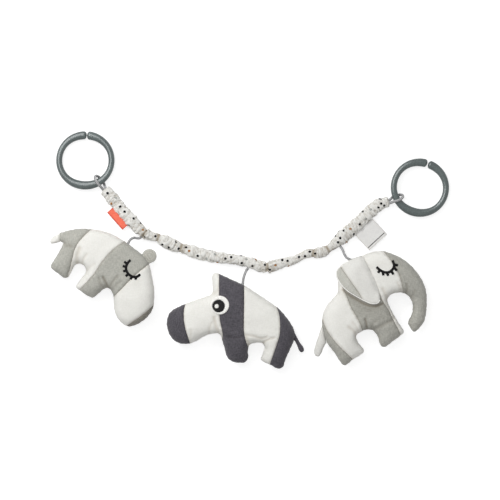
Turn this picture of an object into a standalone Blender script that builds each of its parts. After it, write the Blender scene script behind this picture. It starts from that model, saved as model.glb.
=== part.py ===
"""Pram toy: a gathered elastic band between two clip rings, with three stuffed animals hung on cords.

The toy lies flat on a table: +Z is up, X runs along the band and the animals lie towards -Y.
Outlines are drawn on a plan whose x runs right and whose y runs down, in plan units named ..._PX.
Each piece has its own real size, which sets how large its plan units are.
"""

import math

import bmesh
import bpy
import numpy as np
from mathutils import Matrix, Vector
from mathutils.bvhtree import BVHTree
from mathutils.geometry import delaunay_2d_cdt

MM = 0.001

# Fits
CLEARANCE = 0.3 * MM
FOLD_GAP = 0.5 * MM
OVERRUN = 6 * MM

# Clip rings
RING_OUTER_DIAMETER = 62 * MM
RING_HEIGHT = 7.4 * MM
RING_FOOT_WIDTH = 9.1 * MM
RING_SIDE_WIDTH = 6.6 * MM
RING_TIP_WIDTH = 8.8 * MM
RING_TIP_GAP = 1.4 * MM
RING_TAPER_POWER = 1.6
RING_STATIONS = 36
RING_SIDES = 12

# Cords
CORD_DIAMETER = 2.8 * MM
CORD_PITCH = 3.4 * MM
CORD_BEVEL_STEPS = 2
LOOP_SPREAD = 5.4 * MM
LOOP_SLACK = 0.2 * MM
LOOP_TURNS = tuple(math.radians(turn) for turn in (55, 90, 125, 155, 180, 205, 235, 270, 305))
RISE_SHARE = 0.75
# Each pair is a distance share of the cord's radius from its tip, and the cord's fullness share there.
ROUND_END_SHARES = ((0.02, 0.2), (0.16, 0.54), (0.5, 0.87))

# Gathered band
BAND_SPAN = 301 * MM
BAND_WIDTH = 14 * MM
BAND_HEIGHT = 10.6 * MM
GATHER_LENGTH = 10.5 * MM
GATHER_SHARE = 0.05
BAND_PITCH = 3.5 * MM
BAND_SIDES = 10
ELASTIC_WIDTH = 5.2 * MM
ELASTIC_THICKNESS = 1.2 * MM
ELASTIC_PITCH = 6 * MM
DOME_SHARES = (0.01, 0.08, 0.28, 0.6, 1.0)

# Stuffed animals
HIPPO_LENGTH = 109 * MM
HIPPO_THICKNESS = 31 * MM
ZEBRA_LENGTH = 135.2 * MM
ZEBRA_THICKNESS = 32 * MM
ELEPHANT_LENGTH = 110.7 * MM
ELEPHANT_THICKNESS = 32 * MM
PLUMP_WIDTH = 17 * MM
PLUMP_POWER = 4
PRESSED_FLAT = 0.5 * MM
PRESS_EDGE = 9 * MM
PRESS_SPARE = 1 * MM
RIM_PITCH = 4.6 * MM
FILL_PITCH = 5.6 * MM
RIM_CLEAR_SHARE = 0.55
WELD_SHARE = 0.001

# Tails and the round ear
TAIL_THICKNESS = 7 * MM
HIPPO_TAIL_LENGTH = 10.6 * MM
ZEBRA_TAIL_LENGTH = 19.4 * MM
ZEBRA_TAIL_THICKNESS = 3.6 * MM
ELEPHANT_TAIL_LENGTH = 23.9 * MM
HIPPO_EAR_LENGTH = 12.5 * MM
HIPPO_EAR_THICKNESS = 5 * MM
FLAP_ROOT_SLOPE = 0.9
TRIM_PITCH = 2.2 * MM

# Large ears
EAR_LENGTH = 49.2 * MM
EAR_EDGE = 1.2 * MM
EAR_CROWN = 1.8 * MM
EAR_LIFT = 0.5 * MM
EAR_DRAPE_STEP = 3 * MM
EAR_DRAPE_STEPS = 3
EAR_DRAPE_SLOPE = 0.5
EAR_PRESS_RADIUS = 16 * MM
EAR_HINGE_LIFT = 1.8 * MM
EAR_RIM_PITCH = 3.8 * MM
EAR_PITCH = 5 * MM
DRAPE_SAMPLES = 8
# Each pair is a place under the ear: the share of its width from the left, and of its length from the top.
EAR_PRESS_SHARES = ((0.5, 0.36), (0.34, 0.5), (0.62, 0.62), (0.78, 0.8))

# Eyes
EYE_THREAD = 1.7 * MM
EYE_THICKNESS = 0.5 * MM
EYE_PITCH = 2.6 * MM
FELT_EYE_DIAMETER = 19.8 * MM
FELT_EYE_HOLE = 13.6 * MM
FELT_PUPIL_DIAMETER = 5 * MM
FELT_THICKNESS = 0.9 * MM
FELT_PITCH = 4 * MM
CIRCLE_POINTS = 20

# Labels
SIDE_LABEL_LENGTH = 24.4 * MM
SIDE_LABEL_WIDTH = 5.8 * MM
SIDE_LABEL_THICKNESS = 1.1 * MM
CARE_LABEL_LENGTH = 25.6 * MM
CARE_LABEL_WIDTH = 21.6 * MM
CARE_LABEL_THICKNESS = 0.6 * MM
LABEL_STOPS = 6

# Smoothness of the drawn lines
ROUTE_CLOSENESS = 10
OUTLINE_CLOSENESS = 6
FLAP_CLOSENESS = 4
SEAM_CLOSENESS = 3
SMOOTH_ANGLE = math.radians(40)

# Plan of the band: its centre line from the left end to the right end
ORIGIN_PX = (249.6, 250.0)
BAND_ROUTE_PX = (
    (104.4, 188.9), (109.8, 195.6), (113.2, 199.6), (117.6, 204.8), (124.6, 213.2), (132.0, 221.3),
    (139.2, 228.9), (145.6, 233.8), (152.0, 236.2), (158.0, 237.8), (163.4, 240.6), (172.0, 244.8),
    (182.0, 247.9), (190.0, 250.8), (197.0, 253.0), (214.5, 257.0), (232.7, 259.3), (250.9, 263.0),
    (261.0, 266.4), (268.0, 267.4), (274.0, 265.8), (282.0, 263.0), (293.3, 260.4), (300.0, 257.0),
    (309.1, 253.2), (317.6, 253.2), (323.6, 251.5), (329.7, 248.0), (335.8, 243.0), (341.4, 238.3),
    (348.8, 231.6), (356.2, 224.8), (363.6, 218.1), (370.9, 211.2), (377.4, 205.8), (384.0, 202.8),
    (389.4, 201.6),
)
BAND_WIDTH_SHARES = (
    0.80, 0.92, 1.00, 0.86, 0.91, 0.95, 0.86, 0.94, 0.70, 0.68, 0.92, 0.98, 0.78, 0.90, 0.92, 0.85, 0.77,
    0.80, 0.86, 0.94, 0.90, 0.70, 0.64, 0.47, 0.60, 0.82, 0.86, 0.64, 0.79, 1.00, 1.02, 0.98, 0.95, 1.00,
    0.97, 0.66, 0.52,
)
BAND_FOLDS_PX = ((158.0, 237.8), (267.0, 267.3), (329.7, 248.0))

# Plan of the rings: their centres and their gaps
LEFT_RING_PX = (85.2, 160.3)
LEFT_GAP_PX = (86.6, 135.7)
RIGHT_RING_PX = (420.1, 187.6)
RIGHT_GAP_PX = (427.7, 164.5)

# Plan of the hanging cords, from the band to the seam of each animal
HIPPO_CORD_PX = ((139.4, 238.2), (134.2, 237.8), (131.4, 238.8), (129.4, 241.0), (128.2, 243.4))
ZEBRA_CORD_PX = ((248.2, 267.4), (246.4, 270.4), (244.6, 274.6), (243.3, 279.2), (242.8, 283.8))
ELEPHANT_CORD_PX = ((341.0, 246.8), (342.9, 250.2), (344.2, 254.0), (346.4, 257.4), (349.6, 259.4))

# Plan of the hippo
HIPPO_BODY_PX = (
    (59.8, 233.4), (64.8, 231.4), (72.0, 229.6), (81.8, 228.4), (94.3, 229.2), (104.0, 231.0),
    (113.0, 234.2), (121.0, 238.6), (128.2, 243.4), (135.0, 248.6), (142.6, 254.6), (148.2, 261.4),
    (150.6, 268.0), (152.6, 277.9), (154.4, 288.6), (154.4, 299.3), (153.0, 308.4), (148.2, 316.0),
    (141.6, 321.6), (134.5, 325.2), (128.0, 326.0), (122.2, 322.8), (117.0, 316.5), (114.4, 308.2),
    (114.0, 299.0), (112.6, 292.4), (108.4, 287.6), (104.0, 288.8), (98.6, 293.4), (93.0, 297.4),
    (86.4, 294.6), (80.0, 290.0), (76.2, 287.0), (80.4, 279.6), (86.4, 271.0), (84.6, 266.0),
    (79.4, 263.2), (75.0, 265.4), (71.6, 271.8), (68.4, 277.0), (65.0, 277.8), (58.4, 273.2),
    (51.8, 268.2), (51.2, 265.4), (55.9, 257.3), (60.8, 249.0), (63.6, 242.6), (60.4, 240.8),
)
HIPPO_SEAMS_PX = (
    ((95.0, 226.0), (86.8, 233.6), (79.8, 241.2), (75.6, 248.8), (73.2, 257.6), (70.8, 267.2), (66.6, 280.6)),
    ((127.6, 239.4), (114.0, 249.4), (104.2, 260.0), (94.6, 274.0), (86.6, 282.8), (77.0, 292.8)),
    ((153.0, 261.0), (140.8, 270.6), (130.0, 280.4), (121.8, 288.8), (110.6, 299.6)),
    ((156.6, 301.8), (149.4, 309.0), (141.2, 315.8), (133.0, 321.2), (124.6, 327.2)),
)
HIPPO_LID_PX = (
    (130.6, 260.2), (128.3, 262.6), (126.8, 266.3), (127.0, 270.2), (129.1, 273.6), (132.2, 275.9),
    (135.6, 276.7), (138.3, 275.9), (140.2, 274.4),
)
HIPPO_LASHES_PX = (
    (125.2, 261.3), (123.7, 265.9), (124.1, 270.9), (126.6, 275.7), (131.2, 278.8), (136.6, 279.2),
)
HIPPO_TAIL_PX = (
    (59.4, 233.4), (55.0, 235.6), (51.6, 238.4), (50.4, 241.2), (51.4, 243.2), (54.6, 243.2), (60.0, 241.6),
)
HIPPO_EAR_PX = (
    (142.4, 253.8), (144.6, 250.6), (148.4, 248.8), (152.4, 249.2), (155.8, 252.0), (156.8, 256.4),
    (155.0, 260.6), (149.6, 263.4),
)

# Plan of the zebra
ZEBRA_BODY_PX = (
    (167.0, 320.0), (168.0, 330.0), (172.2, 338.0), (178.8, 342.6), (189.0, 343.4), (197.0, 340.4),
    (205.0, 335.6), (213.0, 333.2), (219.8, 333.8), (222.2, 340.0), (224.8, 348.6), (227.0, 356.4),
    (231.6, 360.8), (238.6, 362.4), (245.2, 361.8), (248.2, 357.4), (248.0, 350.2), (249.6, 344.6),
    (256.0, 342.4), (262.6, 343.0), (264.6, 347.0), (262.6, 353.4), (260.8, 358.4), (263.4, 361.4),
    (270.0, 364.2), (278.6, 368.4), (283.0, 366.4), (285.4, 359.4), (289.4, 350.4), (293.0, 342.4),
    (295.0, 336.0), (294.0, 329.4), (290.2, 322.2), (285.2, 315.4), (278.0, 307.6), (265.6, 298.8),
    (254.4, 291.4), (242.8, 284.2), (232.4, 279.6), (221.6, 274.6), (215.6, 272.4), (212.6, 274.6),
    (212.6, 284.6), (212.2, 293.0), (205.0, 296.6), (196.0, 299.6), (187.0, 303.0), (177.6, 307.0),
    (170.6, 311.6),
)
ZEBRA_SEAMS_PX = (
    ((188.0, 298.0), (184.6, 307.0), (184.0, 316.0), (185.2, 326.0), (188.0, 336.0), (191.6, 347.0)),
    ((219.2, 268.0), (219.2, 284.0), (219.2, 304.0), (220.2, 320.0), (222.4, 331.0), (222.6, 338.0), (218.0, 346.0)),
    ((244.2, 280.0), (244.2, 300.0), (244.0, 318.0), (244.2, 332.0), (246.2, 341.0), (249.4, 349.0), (253.0, 360.0)),
    ((275.0, 303.0), (278.6, 312.0), (280.0, 322.0), (279.6, 334.0), (275.6, 347.0), (268.4, 368.0)),
)
ZEBRA_EYE_PX = (219.9, 304.6)
ZEBRA_DISC_PX = (218.7, 305.6)
ZEBRA_PUPIL_PX = (216.9, 305.7)
ZEBRA_TAIL_PX = (
    (293.8, 330.4), (296.6, 336.0), (299.8, 342.0), (303.4, 347.0), (304.0, 350.4), (301.8, 352.2),
    (299.2, 350.4), (297.2, 345.4), (294.6, 340.2),
)

# Plan of the elephant
ELEPHANT_BODY_PX = (
    (349.6, 259.4), (355.0, 256.6), (362.0, 253.8), (371.0, 251.8), (382.0, 250.8), (392.0, 253.8),
    (400.8, 257.8), (409.2, 264.0), (416.8, 272.4), (422.6, 281.8), (425.8, 291.4), (426.4, 302.0),
    (425.8, 312.0), (423.6, 321.4), (419.6, 327.0), (414.0, 331.6), (409.8, 327.6), (407.6, 321.4),
    (410.8, 315.4), (412.4, 307.6), (411.2, 300.6), (407.2, 295.0), (402.0, 292.6), (395.0, 292.8),
    (389.4, 295.2), (387.0, 300.0), (389.4, 306.6), (394.2, 315.8), (399.4, 324.4), (403.6, 331.6),
    (400.4, 335.2), (392.0, 341.4), (384.0, 346.8), (380.0, 344.8), (377.8, 337.4), (373.4, 330.8),
    (368.6, 329.2), (362.0, 330.8), (355.8, 335.6), (358.0, 342.4), (363.8, 350.4), (361.6, 353.6),
    (352.4, 359.4), (344.4, 365.2), (340.4, 362.2), (334.8, 353.4), (327.4, 343.6), (323.4, 334.0),
    (321.6, 324.0), (322.6, 314.0), (326.0, 306.0), (332.0, 298.8), (337.6, 291.4), (337.4, 284.0),
    (338.4, 276.0), (341.2, 268.6), (345.0, 263.0),
)
ELEPHANT_SEAMS_PX = (
    ((378.0, 246.0), (388.0, 257.4), (395.2, 268.0), (399.8, 279.0), (402.2, 290.0), (403.4, 302.0)),
    ((360.0, 250.0), (367.6, 263.0), (374.0, 277.0), (378.0, 288.6), (381.4, 298.6), (384.6, 304.6),
     (388.6, 310.6), (392.8, 319.6), (397.4, 328.4), (402.0, 338.0)),
    ((337.0, 274.0), (343.4, 290.4), (346.8, 298.0), (350.4, 307.0), (355.0, 315.0), (358.8, 322.0),
     (361.6, 330.0), (362.6, 336.0)),
    ((318.0, 311.0), (322.4, 320.0), (326.6, 330.0), (335.6, 342.4), (356.0, 362.4)),
)
ELEPHANT_LID_PX = (
    (376.3, 267.2), (379.6, 270.1), (384.6, 272.2), (388.3, 271.8), (390.8, 270.1), (392.9, 267.2),
    (393.3, 264.3), (392.1, 260.9),
)
ELEPHANT_LASHES_PX = (
    (377.5, 272.4), (382.4, 274.9), (387.4, 275.4), (392.6, 273.4), (396.2, 269.6), (396.8, 264.9),
)
ELEPHANT_TAIL_PX = (
    (321.4, 325.6), (318.8, 333.6), (315.8, 342.6), (313.8, 350.4), (314.8, 355.0), (318.0, 356.4),
    (320.8, 353.4), (322.8, 348.4), (325.4, 343.2),
)
EAR_PX = (
    (362.4, 258.6), (356.0, 258.4), (348.6, 261.4), (341.4, 265.4), (336.6, 270.4), (336.2, 275.8),
    (340.2, 283.6), (347.0, 290.6), (356.0, 296.2), (364.0, 300.6), (371.0, 303.2), (377.0, 302.8),
    (380.6, 299.2), (379.6, 289.6), (376.2, 279.6), (370.8, 268.8), (366.4, 261.4),
)
EAR_FOOT = 11
EAR_SEAM_PX = (
    (334.0, 259.6), (340.6, 267.2), (344.6, 273.2), (348.6, 278.8), (352.8, 284.8), (357.0, 290.8),
    (361.0, 297.4), (364.6, 305.0),
)
EAR_HINGE_PX = ((368.6, 257.6), (384.8, 299.8))

# Plan of the labels: the two ends of the sewn edge, in the way that the band runs
SIDE_LABEL_PX = ((112.6, 207.8), (127.3, 225.6))
CARE_LABEL_PX = ((355.6, 235.6), (373.5, 219.1))

# Finishes: each has a name, a colour and a roughness
FINISHES = {
    "slate": ("slate_plastic", (0.13, 0.16, 0.165), 0.42),
    "cord": ("grey_cord", (0.36, 0.36, 0.37), 0.8),
    "cream": ("cream_cotton", (0.80, 0.79, 0.75), 0.9),
    "grey": ("grey_cotton", (0.42, 0.42, 0.39), 0.9),
    "nose": ("nose_cotton", (0.27, 0.26, 0.235), 0.9),
    "charcoal": ("charcoal_cotton", (0.075, 0.07, 0.085), 0.9),
    "print": ("dotted_cotton", (0.80, 0.79, 0.75), 0.88),
    "black": ("black_thread", (0.012, 0.012, 0.014), 0.6),
    "felt": ("black_felt", (0.012, 0.012, 0.014), 0.95),
    "coral": ("coral_ribbon", (0.85, 0.24, 0.17), 0.6),
    "white": ("white_satin", (0.78, 0.78, 0.77), 0.5),
    "elastic": ("white_elastic", (0.70, 0.70, 0.68), 0.75),
}

# Worked out from the sizes above
CORD_RADIUS = CORD_DIAMETER / 2
HINGE_STAND_OFF = CORD_RADIUS + CLEARANCE
RING_RADIUS = RING_OUTER_DIAMETER / 2
BAND_Z = BAND_HEIGHT / 2 * max(BAND_WIDTH_SHARES) * (1 + GATHER_SHARE)
UNIT_UP = Vector((0, 0, 1))
# Shares of a triangle's three corners at the places where it is held clear of the skin
CHECKED_SHARES = tuple(
    np.array(shares) / sum(shares) for shares in ((1, 1, 0), (0, 1, 1), (1, 0, 1), (1, 1, 1))
)


class Plan:
    """A stretch of the drawing, laid down at its own real size with one of its points at a given place."""

    def __init__(self, pinned_px, place, unit):
        self.pinned_px = pinned_px
        self.place = Vector((place[0], place[1]))
        self.unit = unit

    def at(self, point_px):
        across = point_px[0] - self.pinned_px[0]
        down = point_px[1] - self.pinned_px[1]
        return self.place + Vector((across, -down)) * self.unit

    def outline(self, points_px):
        return [self.at(point) for point in points_px]


class Route:
    """A smooth open curve through chosen points, read by its distance from the start."""

    def __init__(self, points, closeness=ROUTE_CLOSENESS):
        self.points = smooth(points, closeness, closed=False)
        self.reach = [0.0]
        for before, after in zip(self.points, self.points[1:]):
            self.reach.append(self.reach[-1] + (after - before).length)
        self.length = self.reach[-1]
        self.knots = self.reach[::closeness]

    def at(self, distance):
        index = int(np.searchsorted(self.reach, distance)) - 1
        index = min(max(index, 0), len(self.points) - 2)
        step = self.reach[index + 1] - self.reach[index]
        return self.points[index].lerp(self.points[index + 1], (distance - self.reach[index]) / step)

    def along(self, distance):
        near = self.length / len(self.points)
        return (self.at(distance + near) - self.at(distance - near)).normalized()

    def nearest(self, place):
        gaps = [(point - place).length for point in self.points]
        return self.reach[gaps.index(min(gaps))]


def smooth(points, closeness, closed):
    """Points of a centripetal spline that passes through the given ones."""
    count = len(points)
    found = []
    for index in range(count if closed else count - 1):
        if closed:
            four = [points[(index + step) % count] for step in (-1, 0, 1, 2)]
        else:
            four = [points[min(max(index + step, 0), count - 1)] for step in (-1, 0, 1, 2)]
            if index == 0:
                four[0] = four[1] * 2 - four[2]
            if index == count - 2:
                four[3] = four[2] * 2 - four[1]
        knots = [0.0]
        for before, after in zip(four, four[1:]):
            knots.append(knots[-1] + math.sqrt((after - before).length))
        for step in range(closeness):
            knot = knots[1] + (knots[2] - knots[1]) * step / closeness
            level = list(four)
            for depth in (1, 2, 3):
                level = [
                    level[i].lerp(level[i + 1], blend_share(knot, knots, i, depth))
                    for i in range(4 - depth)
                ]
            found.append(level[0])
    if not closed:
        found.append(points[-1].copy())
    return found


def blend_share(knot, knots, index, depth):
    """How far a knot lies between the two knots that one blend of the spline joins."""
    if depth == 1:
        low, high = knots[index], knots[index + 1]
    elif depth == 2:
        low, high = knots[index], knots[index + 2]
    else:
        low, high = knots[1], knots[2]
    return (knot - low) / (high - low)


def spaced(points, pitch):
    """A closed line read again at even steps of about one pitch."""
    ends = points + points[:1]
    reach = np.cumsum([0.0] + [(b - a).length for a, b in zip(ends, ends[1:])])
    count = max(8, round(reach[-1] / pitch))
    stops = np.arange(count) * reach[-1] / count
    xs = np.interp(stops, reach, [point.x for point in ends])
    ys = np.interp(stops, reach, [point.y for point in ends])
    return [Vector((x, y)) for x, y in zip(xs, ys)]


def material(name, colour, roughness):
    made = bpy.data.materials.new(name)
    made.use_nodes = True
    shader = made.node_tree.nodes["Principled BSDF"]
    shader.inputs["Base Color"].default_value = (*colour, 1)
    shader.inputs["Roughness"].default_value = roughness
    shader.inputs["Metallic"].default_value = 0
    made.diffuse_color = (*colour, 1)
    return made


def mesh_object(name, points, faces):
    """An object whose faces all point out of the closed form that they make."""
    mesh = bpy.data.meshes.new(name)
    mesh.from_pydata([tuple(point) for point in points], [], faces)
    work = bmesh.new()
    work.from_mesh(mesh)
    bmesh.ops.recalc_face_normals(work, faces=work.faces)
    work.to_mesh(mesh)
    work.free()
    made = bpy.data.objects.new(name, mesh)
    bpy.context.scene.collection.objects.link(made)
    return made


def loft(name, sections):
    """A closed form through rings of points that all have the same count."""
    sides = len(sections[0])
    points = [point for section in sections for point in section]
    faces = [tuple(range(sides)), tuple(len(points) - sides + side for side in range(sides))]
    for ring in range(len(sections) - 1):
        for side in range(sides):
            beside = (side + 1) % sides
            low, high = ring * sides, (ring + 1) * sides
            faces.append((low + side, low + beside, high + beside, high + side))
    return mesh_object(name, points, faces)


def prism(name, outline, bottom, top):
    """A flat outline raised between two heights."""
    low = [Vector((point.x, point.y, bottom)) for point in outline]
    high = [Vector((point.x, point.y, top)) for point in outline]
    return loft(name, [low, high])


def boolean(target, tool, operation):
    """The target cut by a tool, with the result kept as a plain mesh and the tool removed."""
    change = target.modifiers.new(operation, "BOOLEAN")
    change.operation = operation
    change.solver = "EXACT"
    change.object = tool
    bpy.context.view_layer.update()
    graph = bpy.context.evaluated_depsgraph_get()
    result = bpy.data.meshes.new_from_object(target.evaluated_get(graph))
    target.modifiers.remove(change)
    target.data = result
    bpy.data.objects.remove(tool)


def copied(source, name):
    made = bpy.data.objects.new(name, source.data.copy())
    bpy.context.scene.collection.objects.link(made)
    return made


def offset(line, distance):
    """An open line moved sideways, to the left of the way that it runs."""
    moved = []
    for index, point in enumerate(line):
        before = line[max(index - 1, 0)]
        after = line[min(index + 1, len(line) - 1)]
        run = (after - before).normalized()
        moved.append(point + Vector((-run.y, run.x)) * distance)
    return moved


def beyond_seam(line, side, reach, height):
    """A tool that holds all on one side of a seam, and half a clearance across it."""
    edge = offset(line, -side * CLEARANCE / 2)
    edge = [edge[0] + (edge[0] - edge[1]).normalized() * reach, *edge]
    edge.append(edge[-1] + (edge[-1] - edge[-2]).normalized() * reach)
    run = (edge[-1] - edge[0]).normalized()
    away = Vector((-run.y, run.x)) * side * reach * 2
    return prism("seam_cutter", edge + [edge[-1] + away, edge[0] + away], -height, height)


def split(form, seams, names, reach, height):
    """The patches of a form, from the right of the first seam to the left of the last."""
    patches = []
    for index, name in enumerate(names):
        patch = copied(form, name)
        if index > 0:
            boolean(patch, beyond_seam(seams[index - 1], -1, reach, height), "DIFFERENCE")
        if index < len(seams):
            boolean(patch, beyond_seam(seams[index], 1, reach, height), "DIFFERENCE")
        patches.append(patch)
    bpy.data.objects.remove(form)
    return patches


def filled(outline, pitch):
    """A net of triangles inside an outline: its points, its triangles and the count of rim points."""
    rim = np.array([(point.x, point.y) for point in outline])
    low, high = rim.min(axis=0), rim.max(axis=0)
    row_step = pitch * math.sqrt(3) / 2
    inner = []
    for row in range(int((high[1] - low[1]) / row_step) + 1):
        shift = pitch / 2 if row % 2 else 0
        for column in range(int((high[0] - low[0]) / pitch) + 2):
            place = np.array((low[0] + shift + column * pitch, low[1] + row_step / 2 + row * row_step))
            clear = np.hypot(*(rim - place).T).min() > pitch * RIM_CLEAR_SHARE
            if clear and inside(place, rim):
                inner.append(Vector(place))
    count = len(outline)
    edges = [(index, (index + 1) % count) for index in range(count)]
    found = delaunay_2d_cdt(list(outline) + inner, edges, [], 1, pitch * WELD_SHARE)
    return np.array([(point.x, point.y) for point in found[0]]), [tuple(face) for face in found[2]], count


def inside(place, rim):
    """Whether a closed line goes round a place."""
    after = np.roll(rim, -1, axis=0)
    spans = (rim[:, 1] > place[1]) != (after[:, 1] > place[1])
    rise = np.where(spans, after[:, 1] - rim[:, 1], 1)
    crossing = rim[:, 0] + (place[1] - rim[:, 1]) * (after[:, 0] - rim[:, 0]) / rise
    return bool((spans & (place[0] < crossing)).sum() % 2)


def swell(points, triangles, rim_count):
    """How far a membrane held along its rim lifts at each point, as the half width of a like strip."""
    count = len(points)
    stiffness = np.zeros((count, count))
    load = np.zeros(count)
    for triangle in triangles:
        corners = points[list(triangle)]
        sides = corners[[2, 0, 1]] - corners[[1, 2, 0]]
        area = abs(sides[0][0] * sides[1][1] - sides[0][1] * sides[1][0]) / 2
        stiffness[np.ix_(triangle, triangle)] += sides @ sides.T / (4 * area)
        load[list(triangle)] += area / 3
    free = np.arange(rim_count, count)
    lift = np.zeros(count)
    lift[free] = np.linalg.solve(stiffness[np.ix_(free, free)], load[free])
    return np.sqrt(2 * lift)


def stuffed(name, outline, thickness, seam_z, pressed):
    """A stuffed form between two fabric sides, which meet at the outline and are flat where they rest."""
    points, triangles, rim_count = filled(spaced(outline, RIM_PITCH), FILL_PITCH)
    spread = swell(points, triangles, rim_count) / PLUMP_WIDTH
    plump = spread / (1 + spread**PLUMP_POWER) ** (1 / PLUMP_POWER)
    upper = thickness / 2 * plump / plump.max()
    lower = np.minimum(upper, thickness / 2 - PRESSED_FLAT)
    for place, radius, depth in pressed:
        away = np.hypot(points[:, 0] - place[0], points[:, 1] - place[1]) - radius - FILL_PITCH
        ease = np.clip(away / PRESS_EDGE, 0, 1) ** 2
        lower = np.minimum(lower, thickness / 2 - PRESSED_FLAT - (depth + PRESS_SPARE) * (1 - ease))
    lower[:rim_count] = 0
    return two_sided(name, points, triangles, rim_count, seam_z - lower, seam_z + upper)


def two_sided(name, points, triangles, rim_count, low, high, wall=False):
    """A closed form from one net of triangles at two heights, joined along the rim or by a wall there."""
    count = len(points)
    corners = [(x, y, z) for (x, y), z in zip(points, high)]
    below = list(range(count))
    for index in range(0 if wall else rim_count, count):
        below[index] = len(corners)
        corners.append((points[index][0], points[index][1], low[index]))
    faces = [tuple(triangle) for triangle in triangles]
    faces += [tuple(below[index] for index in reversed(triangle)) for triangle in triangles]
    if wall:
        for index in range(rim_count):
            beside = (index + 1) % rim_count
            faces.append((index, below[index], below[beside], beside))
    return mesh_object(name, corners, faces)


class Surface:
    """The outer skin of a stuffed form, which trim is laid on."""

    def __init__(self, form, seam_z):
        points = [vertex.co.copy() for vertex in form.data.vertices]
        faces = [tuple(face.vertices) for face in form.data.polygons]
        self.tree = BVHTree.FromPolygons(points, faces)
        self.seam_z = seam_z
        self.far = max(abs(point.z) for point in points) + OVERRUN

    def height(self, place, side):
        """How far the skin stands off the seam plane on one side, or zero past its outline."""
        start = Vector((place[0], place[1], self.seam_z + side * self.far))
        hit = self.tree.ray_cast(start, -UNIT_UP * side)[0]
        return abs(hit.z - self.seam_z) if hit else 0.0

    def draped_height(self, place, side):
        """The height of a soft sheet over the skin, which sinks no more steeply than its slope lets it."""
        best = self.height(place, side)
        for ring in range(1, EAR_DRAPE_STEPS + 1):
            reach = EAR_DRAPE_STEP * ring
            for sample in range(DRAPE_SAMPLES):
                turn = math.tau * sample / DRAPE_SAMPLES
                spot = (place[0] + reach * math.cos(turn), place[1] + reach * math.sin(turn))
                best = max(best, self.height(spot, side) - reach * EAR_DRAPE_SLOPE)
        return best

    def cleared(self, points, triangles, base, side):
        """Heights raised until no flat triangle between them cuts into the skin."""
        raised = base.copy()
        for triangle in triangles:
            corners = list(triangle)
            for weights in CHECKED_SHARES:
                spot = weights @ points[corners]
                short = self.height(spot, side) - weights @ base[corners]
                raised[corners] = np.maximum(raised[corners], base[corners] + max(short, 0))
        return raised


def laid(name, outline, surface, side, lift, edge, pitch, crown=0.0):
    """A piece of trim that follows the skin under it, with its edge thickness and its crown."""
    points, triangles, rim_count = filled(outline, pitch)
    read = surface.draped_height if crown else surface.height
    base = np.array([read(point, side) for point in points])
    inner = surface.cleared(points, triangles, base, side) + lift
    outer = inner + edge
    if crown:
        rise = swell(points, triangles, rim_count)
        outer += crown * rise / rise.max()
    seam_z = surface.seam_z
    if side < 0:
        inner, outer = outer, inner
    return two_sided(
        name, points, triangles, rim_count, seam_z + side * inner, seam_z + side * outer, wall=True
    )


def circle(centre, radius, count):
    turns = [math.tau * step / count for step in range(count)]
    return [centre + Vector((math.cos(turn), math.sin(turn))) * radius for turn in turns]


def sleeping_eye(plan, lid_px, lashes_px):
    """The outline of a closed eye: a curved lid line with short lashes on its outer side."""
    lid = Route(plan.outline(lid_px))
    half = EYE_THREAD / 2
    tips = plan.outline(lashes_px)
    roots = [lid.nearest(tip) for tip in tips]
    middle = tips[len(tips) // 2] - lid.at(roots[len(tips) // 2])
    side = math.copysign(1, middle.dot(side_way(lid.along(roots[len(tips) // 2]))))
    count = round(lid.length / EYE_PITCH)
    stops = [(lid.length * step / count, None) for step in range(count + 1)]
    stops = [stop for stop in stops if min(abs(stop[0] - root) for root in roots) > EYE_THREAD]
    outer = []
    for stop, tip in sorted(stops + list(zip(roots, tips)), key=lambda pair: pair[0]):
        run = lid.along(stop)
        out = side_way(run) * side
        if tip is None:
            outer.append(lid.at(stop) + out * half)
            continue
        outer += [lid.at(stop) - run * half + out * half, tip - run * half]
        outer += [tip + run * half, lid.at(stop) + run * half + out * half]
    inner = [lid.at(lid.length * step / count) for step in range(count, -1, -1)]
    ways = [side_way(lid.along(lid.length * step / count)) for step in range(count, -1, -1)]
    return outer + [point - way * side * half for point, way in zip(inner, ways)]


def tube(name, route):
    """A cord along a route, as a curve with round ends and filled caps."""
    count = max(4, round(route.length / CORD_PITCH))
    stops = [CORD_RADIUS + (route.length - CORD_DIAMETER) * step / (count - 1) for step in range(count)]
    swells = [1.0] * count
    for share, fullness in reversed(ROUND_END_SHARES):
        stops = [CORD_RADIUS * share] + stops + [route.length - CORD_RADIUS * share]
        swells = [fullness] + swells + [fullness]
    curve = bpy.data.curves.new(name, "CURVE")
    curve.dimensions = "3D"
    curve.bevel_depth = CORD_RADIUS
    curve.bevel_resolution = CORD_BEVEL_STEPS
    curve.use_fill_caps = True
    spline = curve.splines.new("POLY")
    spline.points.add(len(stops) - 1)
    for point, stop, fullness in zip(spline.points, stops, swells):
        point.co = (*route.at(stop), 1)
        point.radius = fullness
    made = bpy.data.objects.new(name, curve)
    bpy.context.scene.collection.objects.link(made)
    bpy.context.view_layer.update()
    graph = bpy.context.evaluated_depsgraph_get()
    mesh = bpy.data.meshes.new_from_object(made.evaluated_get(graph))
    work = bmesh.new()
    work.from_mesh(mesh)
    bmesh.ops.remove_doubles(work, verts=work.verts, dist=CORD_RADIUS * WELD_SHARE)
    bmesh.ops.recalc_face_normals(work, faces=work.faces)
    work.to_mesh(mesh)
    work.free()
    bpy.data.objects.remove(made)
    solid = bpy.data.objects.new(name, mesh)
    bpy.context.scene.collection.objects.link(solid)
    return solid


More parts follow.
